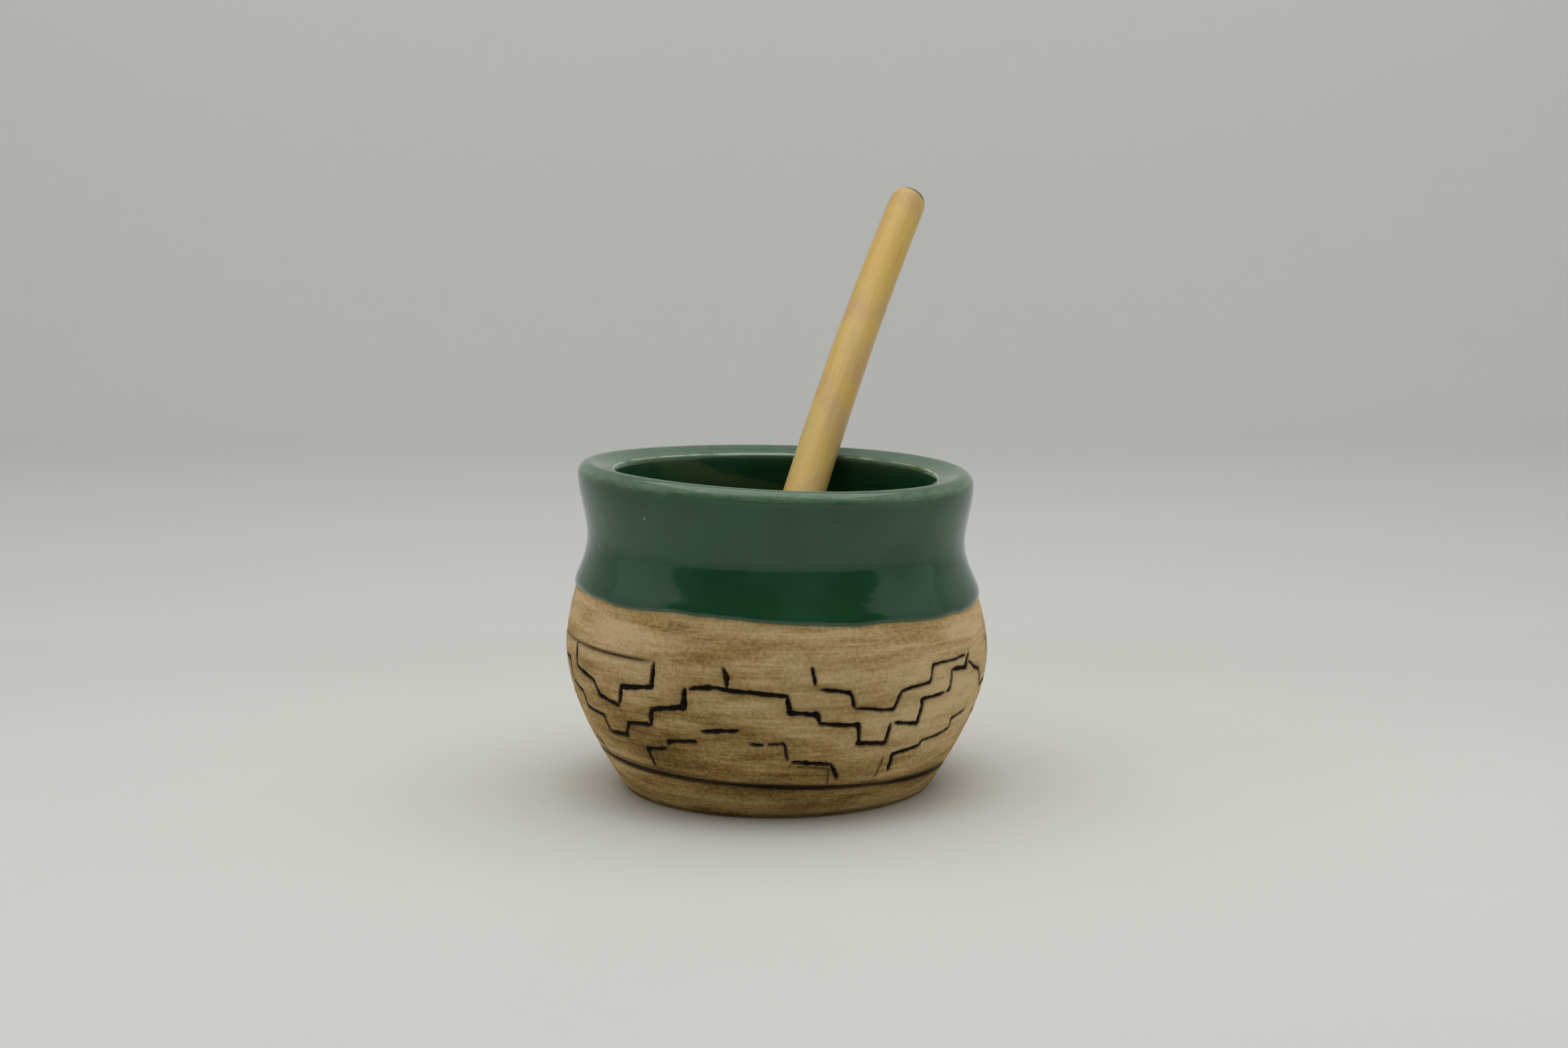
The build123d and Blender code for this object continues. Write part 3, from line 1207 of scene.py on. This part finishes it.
    def wash(self, angle: np.ndarray, height: np.ndarray) -> np.ndarray:
        """Finds how much of the pale clay shows, from the patches where the wash was wiped.

        Args:
            angle: degrees from the front.
            height: height on an even pot.

        Returns:
            A share from 0 to 1 at each place.
        """
        shown = np.full(len(angle), 0.5)
        for middle, level, spread, rise, amount in WASH_PATCHES:
            away = (angle - middle + 180.0) % 360.0 - 180.0
            shown += amount * np.exp(-((away / spread) ** 2) - ((height - level) / rise) ** 2)
        return np.clip(shown, 0.0, 1.0)

    def stain_blank(self) -> bpy.types.Object:
        """Makes the sheet that the stain is cut from.

        Returns:
            The even wall along the strokes.
        """
        number: dict[tuple[int, int], int] = {}
        f = self.finer
        around = self.columns * f
        faces = []
        for row, column in zip(*np.nonzero(self.near)):
            for i in range(f):
                for j in range(f):
                    c, r = column * f + i, row * f + j
                    corners = ((c, r), (c + 1, r), (c + 1, r + 1), (c, r + 1))
                    spots = [(a % around, b) for a, b in corners]
                    faces.append(tuple(number.setdefault(spot, len(number)) for spot in spots))
        grid = np.array(list(number.keys()), float)
        height = self.heights(grid[:, 1])
        angle = grid[:, 0] * 360.0 / around
        places = self.shape.place(angle, self.shape.wall_radius(height), height)
        return make_piece("stain_blank", places, faces)


# --------------------------------------------------------------------------- the black stain


@dataclass
class StrokeStain:
    """Black stain in the strokes, cut from the wall's sheet along the drawn lines."""

    reach: float = 1.06
    depth: float = 0.17
    thickness: float = 0.3
    unevenness: float = 0.16
    lump: float = 0.55

    def tree(self) -> bpy.types.NodeTree:
        """Builds the node tree that cuts, sinks and thickens the sheet.

        Returns:
            The tree.
        """
        tree = bpy.data.node_groups.new("Stain along strokes", "GeometryNodeTree")
        kinds = {"Geometry": "Geometry", "Strokes": "Object", "Reach": "Float", "Depth": "Float"}
        kinds |= {"Thickness": "Float", "Unevenness": "Float", "Lump": "Float", "Finish": "Material"}
        for label, kind in kinds.items():
            tree.interface.new_socket(label, in_out="INPUT", socket_type=f"NodeSocket{kind}")
        tree.interface.new_socket("Geometry", in_out="OUTPUT", socket_type="NodeSocketGeometry")
        kit = Shader(tree)
        given = kit.node("NodeGroupInput").outputs
        lines = kit.node("GeometryNodeObjectInfo")
        kit.put(lines.inputs["Object"], given["Strokes"])
        near = kit.node("GeometryNodeProximity", target_element="EDGES")
        kit.put(near.inputs[0], lines.outputs["Geometry"])
        index = kit.node("GeometryNodeSampleNearest", domain="POINT")
        kit.put(index.inputs["Geometry"], lines.outputs["Geometry"])
        width = kit.node("GeometryNodeInputNamedAttribute", data_type="FLOAT")
        kit.put(width.inputs["Name"], "half_width")
        half = kit.node("GeometryNodeSampleIndex", data_type="FLOAT", domain="POINT")
        kit.put(half.inputs["Geometry"], lines.outputs["Geometry"])
        kit.put(half.inputs["Value"], width.outputs["Attribute"])
        kit.put(half.inputs["Index"], index.outputs["Index"])
        limit = kit.math("MULTIPLY", half.outputs["Value"], given["Reach"])
        outside = kit.math("GREATER_THAN", near.outputs["Distance"], limit)
        cut = kit.node("GeometryNodeDeleteGeometry", domain="POINT")
        kit.put(cut.inputs["Geometry"], given["Geometry"])
        kit.put(cut.inputs["Selection"], outside)
        lumps = kit.node("ShaderNodeTexNoise")
        kit.put(lumps.inputs["Scale"], kit.math("DIVIDE", 1.0, given["Lump"]))
        sunk = kit.math("MULTIPLY", kit.math("SUBTRACT", lumps.outputs["Fac"], 0.5), given["Unevenness"])
        sunk = kit.math("MULTIPLY", kit.math("ADD", sunk, given["Depth"]), -1.0)
        inward = kit.node("ShaderNodeVectorMath", operation="SCALE")
        kit.put(inward.inputs["Vector"], kit.node("GeometryNodeInputNormal").outputs["Normal"])
        kit.put(inward.inputs["Scale"], sunk)
        sink = kit.node("GeometryNodeSetPosition")
        kit.put(sink.inputs["Geometry"], cut.outputs["Geometry"])
        kit.put(sink.inputs["Offset"], inward.outputs["Vector"])
        thick = kit.node("GeometryNodeExtrudeMesh", mode="FACES")
        kit.put(thick.inputs["Mesh"], sink.outputs["Geometry"])
        kit.put(thick.inputs["Offset Scale"], kit.math("MULTIPLY", given["Thickness"], -1.0))
        kit.put(thick.inputs["Individual"], False)
        turned = kit.node("GeometryNodeFlipFaces")
        kit.put(turned.inputs["Mesh"], thick.outputs["Mesh"])
        both = kit.node("GeometryNodeJoinGeometry")
        kit.put(both.inputs["Geometry"], sink.outputs["Geometry"])
        kit.put(both.inputs["Geometry"], turned.outputs["Mesh"])
        closed = kit.node("GeometryNodeMergeByDistance")
        kit.put(closed.inputs["Geometry"], both.outputs["Geometry"])
        kit.put(closed.inputs["Distance"], 0.002 * MM)
        real = kit.node("GeometryNodeRealizeInstances")
        kit.put(real.inputs["Geometry"], closed.outputs["Geometry"])
        dressed = kit.node("GeometryNodeSetMaterial")
        kit.put(dressed.inputs["Geometry"], real.outputs["Geometry"])
        kit.put(dressed.inputs["Material"], given["Finish"])
        kit.put(kit.node("NodeGroupOutput").inputs["Geometry"], dressed.outputs["Geometry"])
        return tree

    def build(self, blank: bpy.types.Object, lines: bpy.types.Object,
              finish: bpy.types.Material) -> bpy.types.Object:
        """Cuts the stain and makes it a plain mesh.

        Args:
            blank: the wall's sheet along the strokes.
            lines: the strokes, as chains of edges.
            finish: the stain's material.

        Returns:
            The piece.
        """
        tree = self.tree()
        values = {"Strokes": lines, "Reach": self.reach, "Depth": self.depth * MM}
        values |= {"Thickness": self.thickness * MM, "Unevenness": self.unevenness * MM}
        values |= {"Lump": self.lump * MM, "Finish": finish}
        modifier = blank.modifiers.new("stain", "NODES")
        modifier.node_group = tree
        for item in tree.interface.items_tree:
            if item.in_out == "INPUT" and item.name in values:
                modifier[item.identifier] = values[item.name]
        shown = blank.evaluated_get(bpy.context.evaluated_depsgraph_get())
        mesh = bpy.data.meshes.new_from_object(shown)
        mesh.name = "stroke_fill"
        blank.modifiers.remove(modifier)
        for helper in (blank, lines):
            bpy.data.objects.remove(helper)
        mesh.polygons.foreach_set("use_smooth", np.ones(len(mesh.polygons), bool))
        piece = bpy.data.objects.new("stroke_fill", mesh)
        bpy.context.scene.collection.objects.link(piece)
        return piece


# --------------------------------------------------------------------------- the glaze


# The glaze's lower edge: (degrees, height) where the brush stopped.
GLAZE_EDGE_PLACES = (
    (-180, 39.4), (-140, 39.9), (-105, 39.1), (-78.5, 40.5), (-66, 40.4), (-48, 39.9), (-40, 40.0),
    (-27, 40.5), (-10.5, 40.0), (6, 39.4), (14, 39.0), (38, 39.0), (45, 38.5), (54, 38.8),
    (66, 38.6), (81, 39.3), (110, 39.8), (145, 38.9), (180, 39.4),
)


@dataclass
class GlazeCoat:
    """The coat of glaze, from its beaded lower edge over the rim to the floor inside."""

    shape: ThrownShape
    columns: int = 288
    outside_rows: int = 54
    hidden: float = -0.14
    lip_place: Point2 = (39.2, 63.1)
    crown_place: Point2 = (36.9, 64.3)
    mouth_place: Point2 = (32.50, 62.97)
    inner_place: Point2 = (32.8, 62.9)

    def edge(self, angle: np.ndarray) -> np.ndarray:
        """Finds where the glaze ends below.

        Args:
            angle: degrees from the front.

        Returns:
            Height of its lower edge at each angle.
        """
        known = np.array(GLAZE_EDGE_PLACES, float)
        spread = np.linspace(-6.0, 6.0, 9)
        height = np.zeros(len(angle))
        for offset in spread:
            turned = (angle + offset + 180.0) % 360.0 - 180.0
            height += np.interp(turned, known[:, 0], known[:, 1]) / len(spread)
        fine = [0.22 * wobble(a, 6.0, 1.7) + 0.10 * wobble(a, 2.2, 2.9) for a in np.abs(angle - 180.0)]
        return height + np.array(fine)

    def swell(self, above: np.ndarray | float) -> np.ndarray:
        """Extra thickness where the glaze ran down and gathered above its lower edge."""
        return 0.24 * (1.0 - np.exp(-((above / 1.1) ** 2))) * np.exp(-((above / 3.6) ** 2))

    def build(self) -> bpy.types.Object:
        """Builds the glaze.

        Returns:
            The piece, a closed coat whose hidden side lies just inside the clay.
        """
        shape = self.shape
        angle = np.arange(self.columns) * 360.0 / self.columns
        start = self.edge(angle)
        rise = np.concatenate(([0.0], np.linspace(0.0, 1.0, self.outside_rows - 10) ** 1.15))
        beads = np.array([0.0, 0.05, 0.14, 0.28, 0.46, 0.66, 0.9, 1.15, 1.45, 1.8])
        rings = []
        for bead in beads:
            height = start + bead
            round_edge = np.sqrt(np.clip(1.0 - (1.0 - np.clip(bead / 0.8, 0, 1)) ** 2, 0, 1))
            coat = self.hidden + (shape.coat - self.hidden) * round_edge
            rings.append((shape.wall_radius(height) + coat + self.swell(bead), height))
        for share in rise[2:]:
            height = (start + beads[-1]) * (1 - share) + shape.lip[1] * share
            rings.append((shape.wall_radius(height) + shape.coat + self.swell(height - start), height))
        outer_count = len(rings)
        for r, z in shape.rim_and_inside(shape.coat, (16, 18, 70, 12))[1:-1]:
            rings.append((np.full(self.columns, r), np.full(self.columns, z)))
        top_count = len(rings)
        for r, z in shape.rim_and_inside(self.hidden, (7, 6, 30, 8))[:-1][::-1]:
            rings.append((np.full(self.columns, r), np.full(self.columns, z)))
        for share in np.linspace(1.0, 0.0, 14)[1:]:
            height = start * (1 - share) + shape.lip[1] * share
            rings.append((shape.wall_radius(height) + self.hidden - 0.05 * (share == 0.0), height))
        faces = []
        places = []
        evens = []
        thin = []
        ridge = []
        for row, (radius, height) in enumerate(rings):
            uneven = np.zeros(self.columns)
            if outer_count > row >= len(beads):
                fade = np.sin(math.pi * (row - len(beads)) / (outer_count - len(beads)))
                turn = np.radians(angle)
                uneven = 0.05 * fade * (np.sin(3 * turn + 0.16 * height) + np.sin(5 * turn + 2.0))
            spots = shape.place(angle, radius + uneven, height)
            places.append(spots)
            evens.append(np.column_stack((spots[:, 0], spots[:, 1], height)))
            seen = 1.0 if row < top_count else 0.0
            at_lip = bell(np.hypot(radius - self.lip_place[0], height - self.lip_place[1]), 1.0)
            flatter = (height - self.crown_place[1]) * 1.5
            crown = bell(np.hypot(radius - self.crown_place[0], flatter), 2.2)
            low = bell(height - start, 0.5) if row < outer_count else np.zeros(self.columns)
            at_mouth = bell(np.hypot(radius - self.mouth_place[0], height - self.mouth_place[1]), 0.20)
            inner = bell(np.hypot(radius - self.inner_place[0], height - self.inner_place[1]), 1.5)
            thin.append(seen * np.clip(0.8 * at_lip + 0.30 * crown + 0.4 * inner + 0.25 * low, 0, 1))
            ridge.append(seen * at_mouth)
        count = self.columns
        for row in range(len(rings)):
            if row == top_count - 1:
                continue
            here = row * count
            next_row = (row + 1) % len(rings) * count
            for c in range(count):
                n = (c + 1) % count
                faces.append((here + c, here + n, next_row + n, next_row + c))
        total = count * len(rings)
        floor_top = shape.floor_edge[1] + shape.coat
        floor_under = shape.floor_edge[1] + self.hidden
        for c in range(count):
            n = (c + 1) % count
            faces.append(((top_count - 1) * count + c, (top_count - 1) * count + n, total))
            faces.append((top_count * count + n, top_count * count + c, total + 1))
        poles = np.array(((0.0, 0.0, floor_top), (0.0, 0.0, floor_under)))
        piece = make_piece("glaze_coat", np.vstack((*places, poles)), faces)
        store(piece, "turning", np.vstack((*evens, poles)))
        store(piece, "thin", np.concatenate((*thin, [0.0, 0.0])))
        store(piece, "ridge", np.concatenate((*ridge, [0.0, 0.0])))
        return piece


# --------------------------------------------------------------------------- the cane straw


@dataclass
class CaneStraw:
    """A tapering, slightly bent length of cane with its knot, its slits and its hollow."""

    foot: Point3 = (-9.0, -21.9, 9.8)
    middle: Point3 = (8.4, 24.9, 63.36)
    tip: Point3 = (30.3, 73.2, 116.0)
    foot_radius: float = 4.56
    tip_radius: float = 4.07
    mouthpiece: float = 1.4
    dome: float = 3.2
    end_radius: float = 2.4
    bore: float = 2.0
    knot: float = 0.06
    knot_wall: float = 0.012
    slits: float = 0.14
    slit_length: float = 12.0
    grain_radius: float = 4.5
    scorch_side: Point3 = (0.92, 0.2, 0.35)
    columns: int = 108

    def __post_init__(self) -> None:
        """Finds the centre and the radius of the straw's bend."""
        a, b, c = (np.array(p, float) for p in (self.foot, self.middle, self.tip))
        u, v = b - a, c - a
        w = np.cross(u, v)
        self.centre = a + (np.cross(w, u) * (v @ v) + np.cross(v, w) * (u @ u)) / (2 * (w @ w))
        self.bend = np.linalg.norm(a - self.centre)
        self.side = w / np.linalg.norm(w)
        self.start = (a - self.centre) / self.bend
        self.ahead = np.cross(self.side, self.start)
        last = (c - self.centre) / self.bend
        self.sweep = math.atan2(last @ self.ahead, last @ self.start)
        self.length = self.bend * self.sweep

    def ring(self, along: float, radius: np.ndarray, turn: np.ndarray) -> np.ndarray:
        """Places a ring of points round the straw.

        Args:
            along: distance from its foot.
            radius: distance of each point from its centre line.
            turn: each point's angle round that line, in radians.

        Returns:
            The points, one row each.
        """
        on_arc = min(along, self.length)
        angle = on_arc / self.bend
        out = math.cos(angle) * self.start + math.sin(angle) * self.ahead
        forward = math.cos(angle) * self.ahead - math.sin(angle) * self.start
        middle = self.centre + self.bend * out + forward * (along - on_arc)
        outward = np.cos(turn)[:, None] * out + np.sin(turn)[:, None] * self.side
        return middle + radius[:, None] * outward

    def outer_radius(self, along: float) -> float:
        """Finds the radius of the cane's skin, with its knot and its rounded end.

        Args:
            along: distance from the foot.

        Returns:
            The radius.
        """
        share = min(along / self.length, 1.0)
        radius = self.foot_radius + share * (self.tip_radius - self.foot_radius)
        knot = (along - self.knot * self.length) / 0.9
        radius += 0.10 * math.exp(-(knot**2)) - 0.06 * math.exp(-((knot - 1.9) ** 2))
        left = self.length + self.mouthpiece - along
        if left < self.dome:
            share = 1.0 - left / self.dome
            drawn_in = 1.0 - math.sqrt(max(0.0, 1.0 - share**2.2))
            radius -= (self.tip_radius - self.end_radius) * drawn_in
        return radius

    def scorched(self, left: float, turn: np.ndarray) -> np.ndarray:
        """Finds how scorched the skin is, which goes further down on the right.

        Args:
            left: distance from the cut end.
            turn: angles round the straw, in radians.

        Returns:
            A share from 0 to 1 at each angle.
        """
        out = np.cos(turn)[:, None] * self.start + np.sin(turn)[:, None] * self.side
        reach = 1.15 + 1.05 * (out @ np.array(self.scorch_side)) + 0.12 * np.sin(5 * turn)
        return np.clip((reach - left) / 0.5, 0.0, 1.0) ** 1.3

    def build(self) -> bpy.types.Object:
        """Builds the straw.

        Returns:
            The piece: skin, cut ends, both hollows and the slits through the wall.
        """
        end = self.length + self.mouthpiece
        slit_from = self.slits * self.length - self.slit_length / 2
        slit_to = slit_from + self.slit_length
        knot_low = (self.knot - self.knot_wall) * self.length
        knot_high = (self.knot + self.knot_wall) * self.length
        stations = [0.0, 0.12, 0.35]
        stations += list(np.linspace(0.8, slit_from, 34)) + list(np.linspace(slit_from, slit_to, 13)[1:])
        stations += list(np.linspace(slit_to, end - self.dome, 84)[1:])
        rounding = np.sin(np.linspace(0, math.pi / 2, 14))[1:]
        stations += [end - self.dome * (1.0 - share) for share in rounding]
        turn = (np.arange(self.columns) + 0.5) * 2 * math.pi / self.columns
        lobes = 1.0 + 0.006 * np.sin(2 * turn + 0.6) + 0.004 * np.sin(3 * turn)
        per_side = self.columns // 4
        open_columns = {(k * per_side + i) % self.columns for k in range(4) for i in (-2, -1, 0)}
        rings = []

        around = (self.grain_radius * np.cos(turn), self.grain_radius * np.sin(turn))

        def add(along: float, radius: np.ndarray, inside: float, scorch: float | np.ndarray) -> int:
            """Adds a ring of points.

            Args:
                along: distance from the foot.
                radius: radius at each point.
                inside: 1 in the hollow, 0 on the skin.
                scorch: how scorched it is.

            Returns:
                The ring's number.
            """
            grain = np.column_stack((*around, np.full(self.columns, along)))
            rings.append((self.ring(along, radius, turn), grain, inside, scorch))
            return len(rings) - 1

        faces = []

        def quad(one: int, two: int, c: int, flip: bool = False) -> None:
            """Adds the face between two rings at a column.

            Args:
                one: the first ring's number.
                two: the second ring's number.
                c: the column.
                flip: True to face the other way.
            """
            n = (c + 1) % self.columns
            first, second = one * self.columns, two * self.columns
            made = (first + c, first + n, second + n, second + c)
            faces.append(made[::-1] if flip else made)

        skin = []
        for along in stations:
            worn = 0.25 * math.exp(-((along / 0.15) ** 2))
            scorch = self.scorched(end - along, turn)
            skin.append(add(along, (self.outer_radius(along) - worn) * lobes, 0.0, scorch))
        open_rows = {k for k, s in enumerate(stations[:-1]) if slit_from - 1e-6 <= s < slit_to - 1e-6}
        for row, (one, two) in enumerate(zip(skin, skin[1:])):
            for c in range(self.columns):
                if not (row in open_rows and c in open_columns):
                    quad(one, two, c)
        lip = add(end + 0.02, np.full(self.columns, (self.end_radius + self.bore) / 2), 0.7, 0.8)
        edge = add(end - 0.10, np.full(self.columns, self.bore + 0.12), 1.0, 0.7)
        hollow = [add(end - 0.35, np.full(self.columns, self.bore), 1.0, 0.5)]
        for one, two in ((skin[-1], lip), (lip, edge), (edge, hollow[0])):
            for c in range(self.columns):
                quad(one, two, c)
        deep = [s for s in stations if knot_high + 0.3 < s < end - 2.5][::-1]
        kept = [s for k, s in enumerate(deep) if slit_from - 3 < s < slit_to + 3 or k % 4 == 0]
        for along in kept + [knot_high]:
            hollow.append(add(along, np.full(self.columns, self.bore), 1.0, 0.0))
        inner = dict(zip([round(s, 6) for s in kept], hollow[1:]))
        level = [end - 0.35] + kept + [knot_high]
        for k, (one, two) in enumerate(zip(hollow, hollow[1:])):
            within = slit_from + 1e-6 < level[k] <= slit_to + 1e-6 and level[k + 1] >= slit_from - 1e-6
            for c in range(self.columns):
                if not (within and c in open_columns):
                    quad(one, two, c)
        self.wall_slits(stations, open_rows, open_columns, skin, inner, faces)
        foot_edge = add(0.02, np.full(self.columns, self.bore + 0.1), 0.8, 0.1)
        foot_in = add(0.4, np.full(self.columns, self.bore), 1.0, 0.0)
        foot_deep = add(knot_low, np.full(self.columns, self.bore), 1.0, 0.0)
        for one, two in ((skin[0], foot_edge), (foot_edge, foot_in), (foot_in, foot_deep)):
            for c in range(self.columns):
                quad(one, two, c, flip=True)
        total = len(rings) * self.columns
        for c in range(self.columns):
            n = (c + 1) % self.columns
            faces.append((hollow[-1] * self.columns + c, hollow[-1] * self.columns + n, total))
            faces.append((foot_deep * self.columns + n, foot_deep * self.columns + c, total + 1))
        zero = np.zeros(1)
        poles = np.vstack((self.ring(knot_high, zero, zero), self.ring(knot_low, zero, zero)))
        piece = make_piece("cane_straw_skin", np.vstack([r[0] for r in rings] + [poles]), faces)
        grains = [r[1] for r in rings] + [np.array(((0, 0, knot_high), (0, 0, knot_low)), float)]
        store(piece, "grain", np.vstack(grains))
        for k, name in ((2, "inside"), (3, "scorch")):
            values = [np.zeros(self.columns) + r[k] for r in rings]
            at_poles = np.full(2, 1.0 if name == "inside" else 0.0)
            store(piece, name, np.concatenate((*values, at_poles)))
        return piece

    def wall_slits(self, stations: list[float], open_rows: set[int], open_columns: set[int],
                   skin: list[int], inner: dict[float, int], faces: list[tuple[int, ...]]) -> None:
        """Joins the skin to the hollow round every slit.

        Args:
            stations: distances of the skin's rings from the foot.
            open_rows: rows of the skin that the slits open.
            open_columns: columns that the slits open.
            skin: the skin's rings.
            inner: the hollow's ring at each distance.
            faces: the straw's faces, added to here.
        """
        count = self.columns

        def point(ring: int, column: int) -> int:
            """The mesh's point on a ring."""
            return ring * count + column % count

        for row in open_rows:
            low, high = skin[row], skin[row + 1]
            low_in, high_in = inner[round(stations[row], 6)], inner[round(stations[row + 1], 6)]
            for c in open_columns:
                n = c + 1
                if (c - 1) % count not in open_columns:
                    faces.append((point(low, c), point(low_in, c), point(high_in, c), point(high, c)))
                if n % count not in open_columns:
                    faces.append((point(low, n), point(high, n), point(high_in, n), point(low_in, n)))
                if row - 1 not in open_rows:
                    faces.append((point(low, c), point(low, n), point(low_in, n), point(low_in, c)))
                if row + 1 not in open_rows:
                    faces.append((point(high, c), point(high_in, c), point(high_in, n), point(high, n)))


# --------------------------------------------------------------------------- the studio


@dataclass
class Studio:
    """Pale table, curved backdrop, soft light from above and the camera."""

    floor_radius: float = 5.0
    bend_start: float = 0.160
    bend_radius: float = 0.045
    wall_height: float = 0.42
    half_width: float = 0.75
    card_overlap: float = 0.03
    card_lift: float = 0.0004
    tint: Colour = (0.745, 0.745, 0.715)
    shade: Colour = (0.73, 0.73, 0.70)
    # Paler colour painted high on the backdrop: painted light, in place of light falling on it.
    high: Colour = (0.95, 0.955, 0.955)
    room_low: Colour = (0.52, 0.52, 0.51)
    room_high: Colour = (0.70, 0.70, 0.69)
    room_dark: Colour = (0.04, 0.04, 0.04)
    room_strength: float = 0.9
    opening_turn: float = 64.0
    opening_middle: float = 0.26
    opening_rise: float = 0.50
    opening_squareness: float = 2.4
    lens: float = 54.75
    eye: Point3 = (0.00158, -0.475, 0.12233)
    looks_down: float = 8.367
    roll: float = -0.308

    def floor(self) -> bpy.types.Object:
        """Makes the round table top.

        Returns:
            The table.
        """
        sides = 96
        turn = np.linspace(0, 2 * math.pi, sides + 1)[:-1]
        rim = np.column_stack((np.cos(turn), np.sin(turn), np.zeros(sides))) * self.floor_radius / MM
        piece = make_piece("table", rim, [tuple(range(sides))])
        piece.data.materials.append(PaperFinish("table card", self.tint, self.shade).material())
        return piece

    def backdrop(self) -> bpy.types.Object:
        """Makes the card that curves up behind the cup, seen only from its front.

        Returns:
            The card.
        """
        bend = round_corner((self.bend_start, self.bend_radius), self.bend_radius, -90, 0, 14)
        wall_at = self.bend_start + self.bend_radius
        line = np.vstack(((self.bend_start - self.card_overlap, 0.0), bend, (wall_at, self.wall_height)))
        line[:, 1] += self.card_lift
        points = [(x / MM, y / MM, z / MM) for y, z in line for x in (-self.half_width, self.half_width)]
        faces = [(2 * k, 2 * k + 1, 2 * k + 3, 2 * k + 2) for k in range(len(line) - 1)]
        piece = make_piece("backdrop", np.array(points), faces)
        # The backdrop card is painted paler higher up, as painted light.
        finish = PaperFinish("backdrop card", self.tint, self.shade, self.high, one_way=True)
        piece.data.materials.append(finish.material())
        return piece

    def lamp(self, name: str, place: Point3, size: Point2, power: float, aim: Vector) -> None:
        """Hangs a soft rectangular lamp.

        Args:
            name: its name.
            place: where it hangs, in metres.
            size: its sides, in metres.
            power: its power, in watts.
            aim: the point it faces.
        """
        light = bpy.data.lights.new(name, "AREA")
        light.shape = "RECTANGLE"
        light.size, light.size_y = size
        light.energy = power
        lamp = bpy.data.objects.new(name, light)
        lamp.location = place
        lamp.rotation_mode = "QUATERNION"
        lamp.rotation_quaternion = (aim - Vector(place)).to_track_quat("-Z", "Y")
        bpy.context.scene.collection.objects.link(lamp)

    def room(self) -> None:
        """Soft light from pale walls all round, with a dim opening low in front."""
        world = bpy.data.worlds.new("pale room")
        world.use_nodes = True
        bpy.context.scene.world = world
        shader = Shader(world.node_tree)
        where = shader.node("ShaderNodeTexCoord").outputs["Generated"]
        parts = shader.node("ShaderNodeSeparateXYZ")
        shader.put(parts.inputs[0], where)
        ahead = shader.math("MULTIPLY", parts.outputs["Y"], -1.0)
        turn = shader.math("ARCTAN2", parts.outputs["X"], ahead)
        turn = shader.math("DIVIDE", turn, math.radians(self.opening_turn))
        rise = shader.math("SUBTRACT", parts.outputs["Z"], self.opening_middle)
        rise = shader.math("DIVIDE", rise, self.opening_rise)
        sides = [shader.math("POWER", shader.math("ABSOLUTE", part), self.opening_squareness)
                 for part in (turn, rise)]
        wall = shader.spread(shader.math("ADD", *sides), 0.9, 1.15)
        upward = shader.spread(parts.outputs["Z"], 0.1, 0.9)
        pale = shader.mix(upward, self.room_low, self.room_high)
        background = world.node_tree.nodes["Background"]
        shader.put(background.inputs["Color"], shader.mix(wall, self.room_dark, pale))
        shader.put(background.inputs["Strength"], self.room_strength)

    def camera(self) -> None:
        """Stands the camera in front of the cup, looking slightly down."""
        data = bpy.data.cameras.new("camera")
        data.sensor_fit = "HORIZONTAL"
        data.sensor_width = 36.0
        data.lens = self.lens
        data.clip_start = 0.01
        data.clip_end = 50.0
        camera = bpy.data.objects.new("camera", data)
        camera.location = self.eye
        tilt = Euler((math.radians(90.0 - self.looks_down), 0.0, 0.0)).to_quaternion()
        roll = Euler((0.0, 0.0, math.radians(self.roll))).to_quaternion()
        camera.rotation_mode = "QUATERNION"
        camera.rotation_quaternion = tilt @ roll
        bpy.context.scene.collection.objects.link(camera)
        bpy.context.scene.camera = camera

    def build(self) -> None:
        """Sets up the table, the backdrop, the light and the camera."""
        self.floor()
        self.backdrop()
        self.room()
        middle = Vector((0.0, 0.0, 0.03))
        self.lamp("lamp_above", (0.0, 0.03, 0.62), (0.74, 0.60), 2.05, middle)
        self.camera()
        bpy.context.scene.view_settings.view_transform = "Standard"


# --------------------------------------------------------------------------- the whole


def dress(piece: bpy.types.Object, material: bpy.types.Material, body: str, node: str) -> None:
    """Gives a piece its finish and hands it to its body in place of its CAD node.

    Args:
        piece: the piece.
        material: its finish.
        body: the body it rides on.
        node: the CAD node it stands for.
    """
    piece.data.materials.clear()
    piece.data.materials.append(material)
    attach(piece, body)
    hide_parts(node)
    report(piece)


def main() -> None:
    """Builds the cup, its finishes and its straw."""
    logging.basicConfig(level=logging.INFO, format="%(message)s")
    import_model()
    shape = ThrownShape()
    border = Border(shape)
    clay = ClayBody(shape, border)
    dress(clay.build(), ClayFinish().material(), "cup", "clay_cup")
    stain_finish = StainFinish().material()
    stain = StrokeStain().build(clay.stain_blank(), border.line_mesh(), stain_finish)
    dress(stain, stain_finish, "cup", "stroke_stain")
    dress(GlazeCoat(shape).build(), GlazeFinish().material(), "cup", "green_glaze")
    dress(CaneStraw().build(), CaneFinish().material(), "straw", "cane_straw")
    Studio().build()


if __name__ == "__main__":
    main()
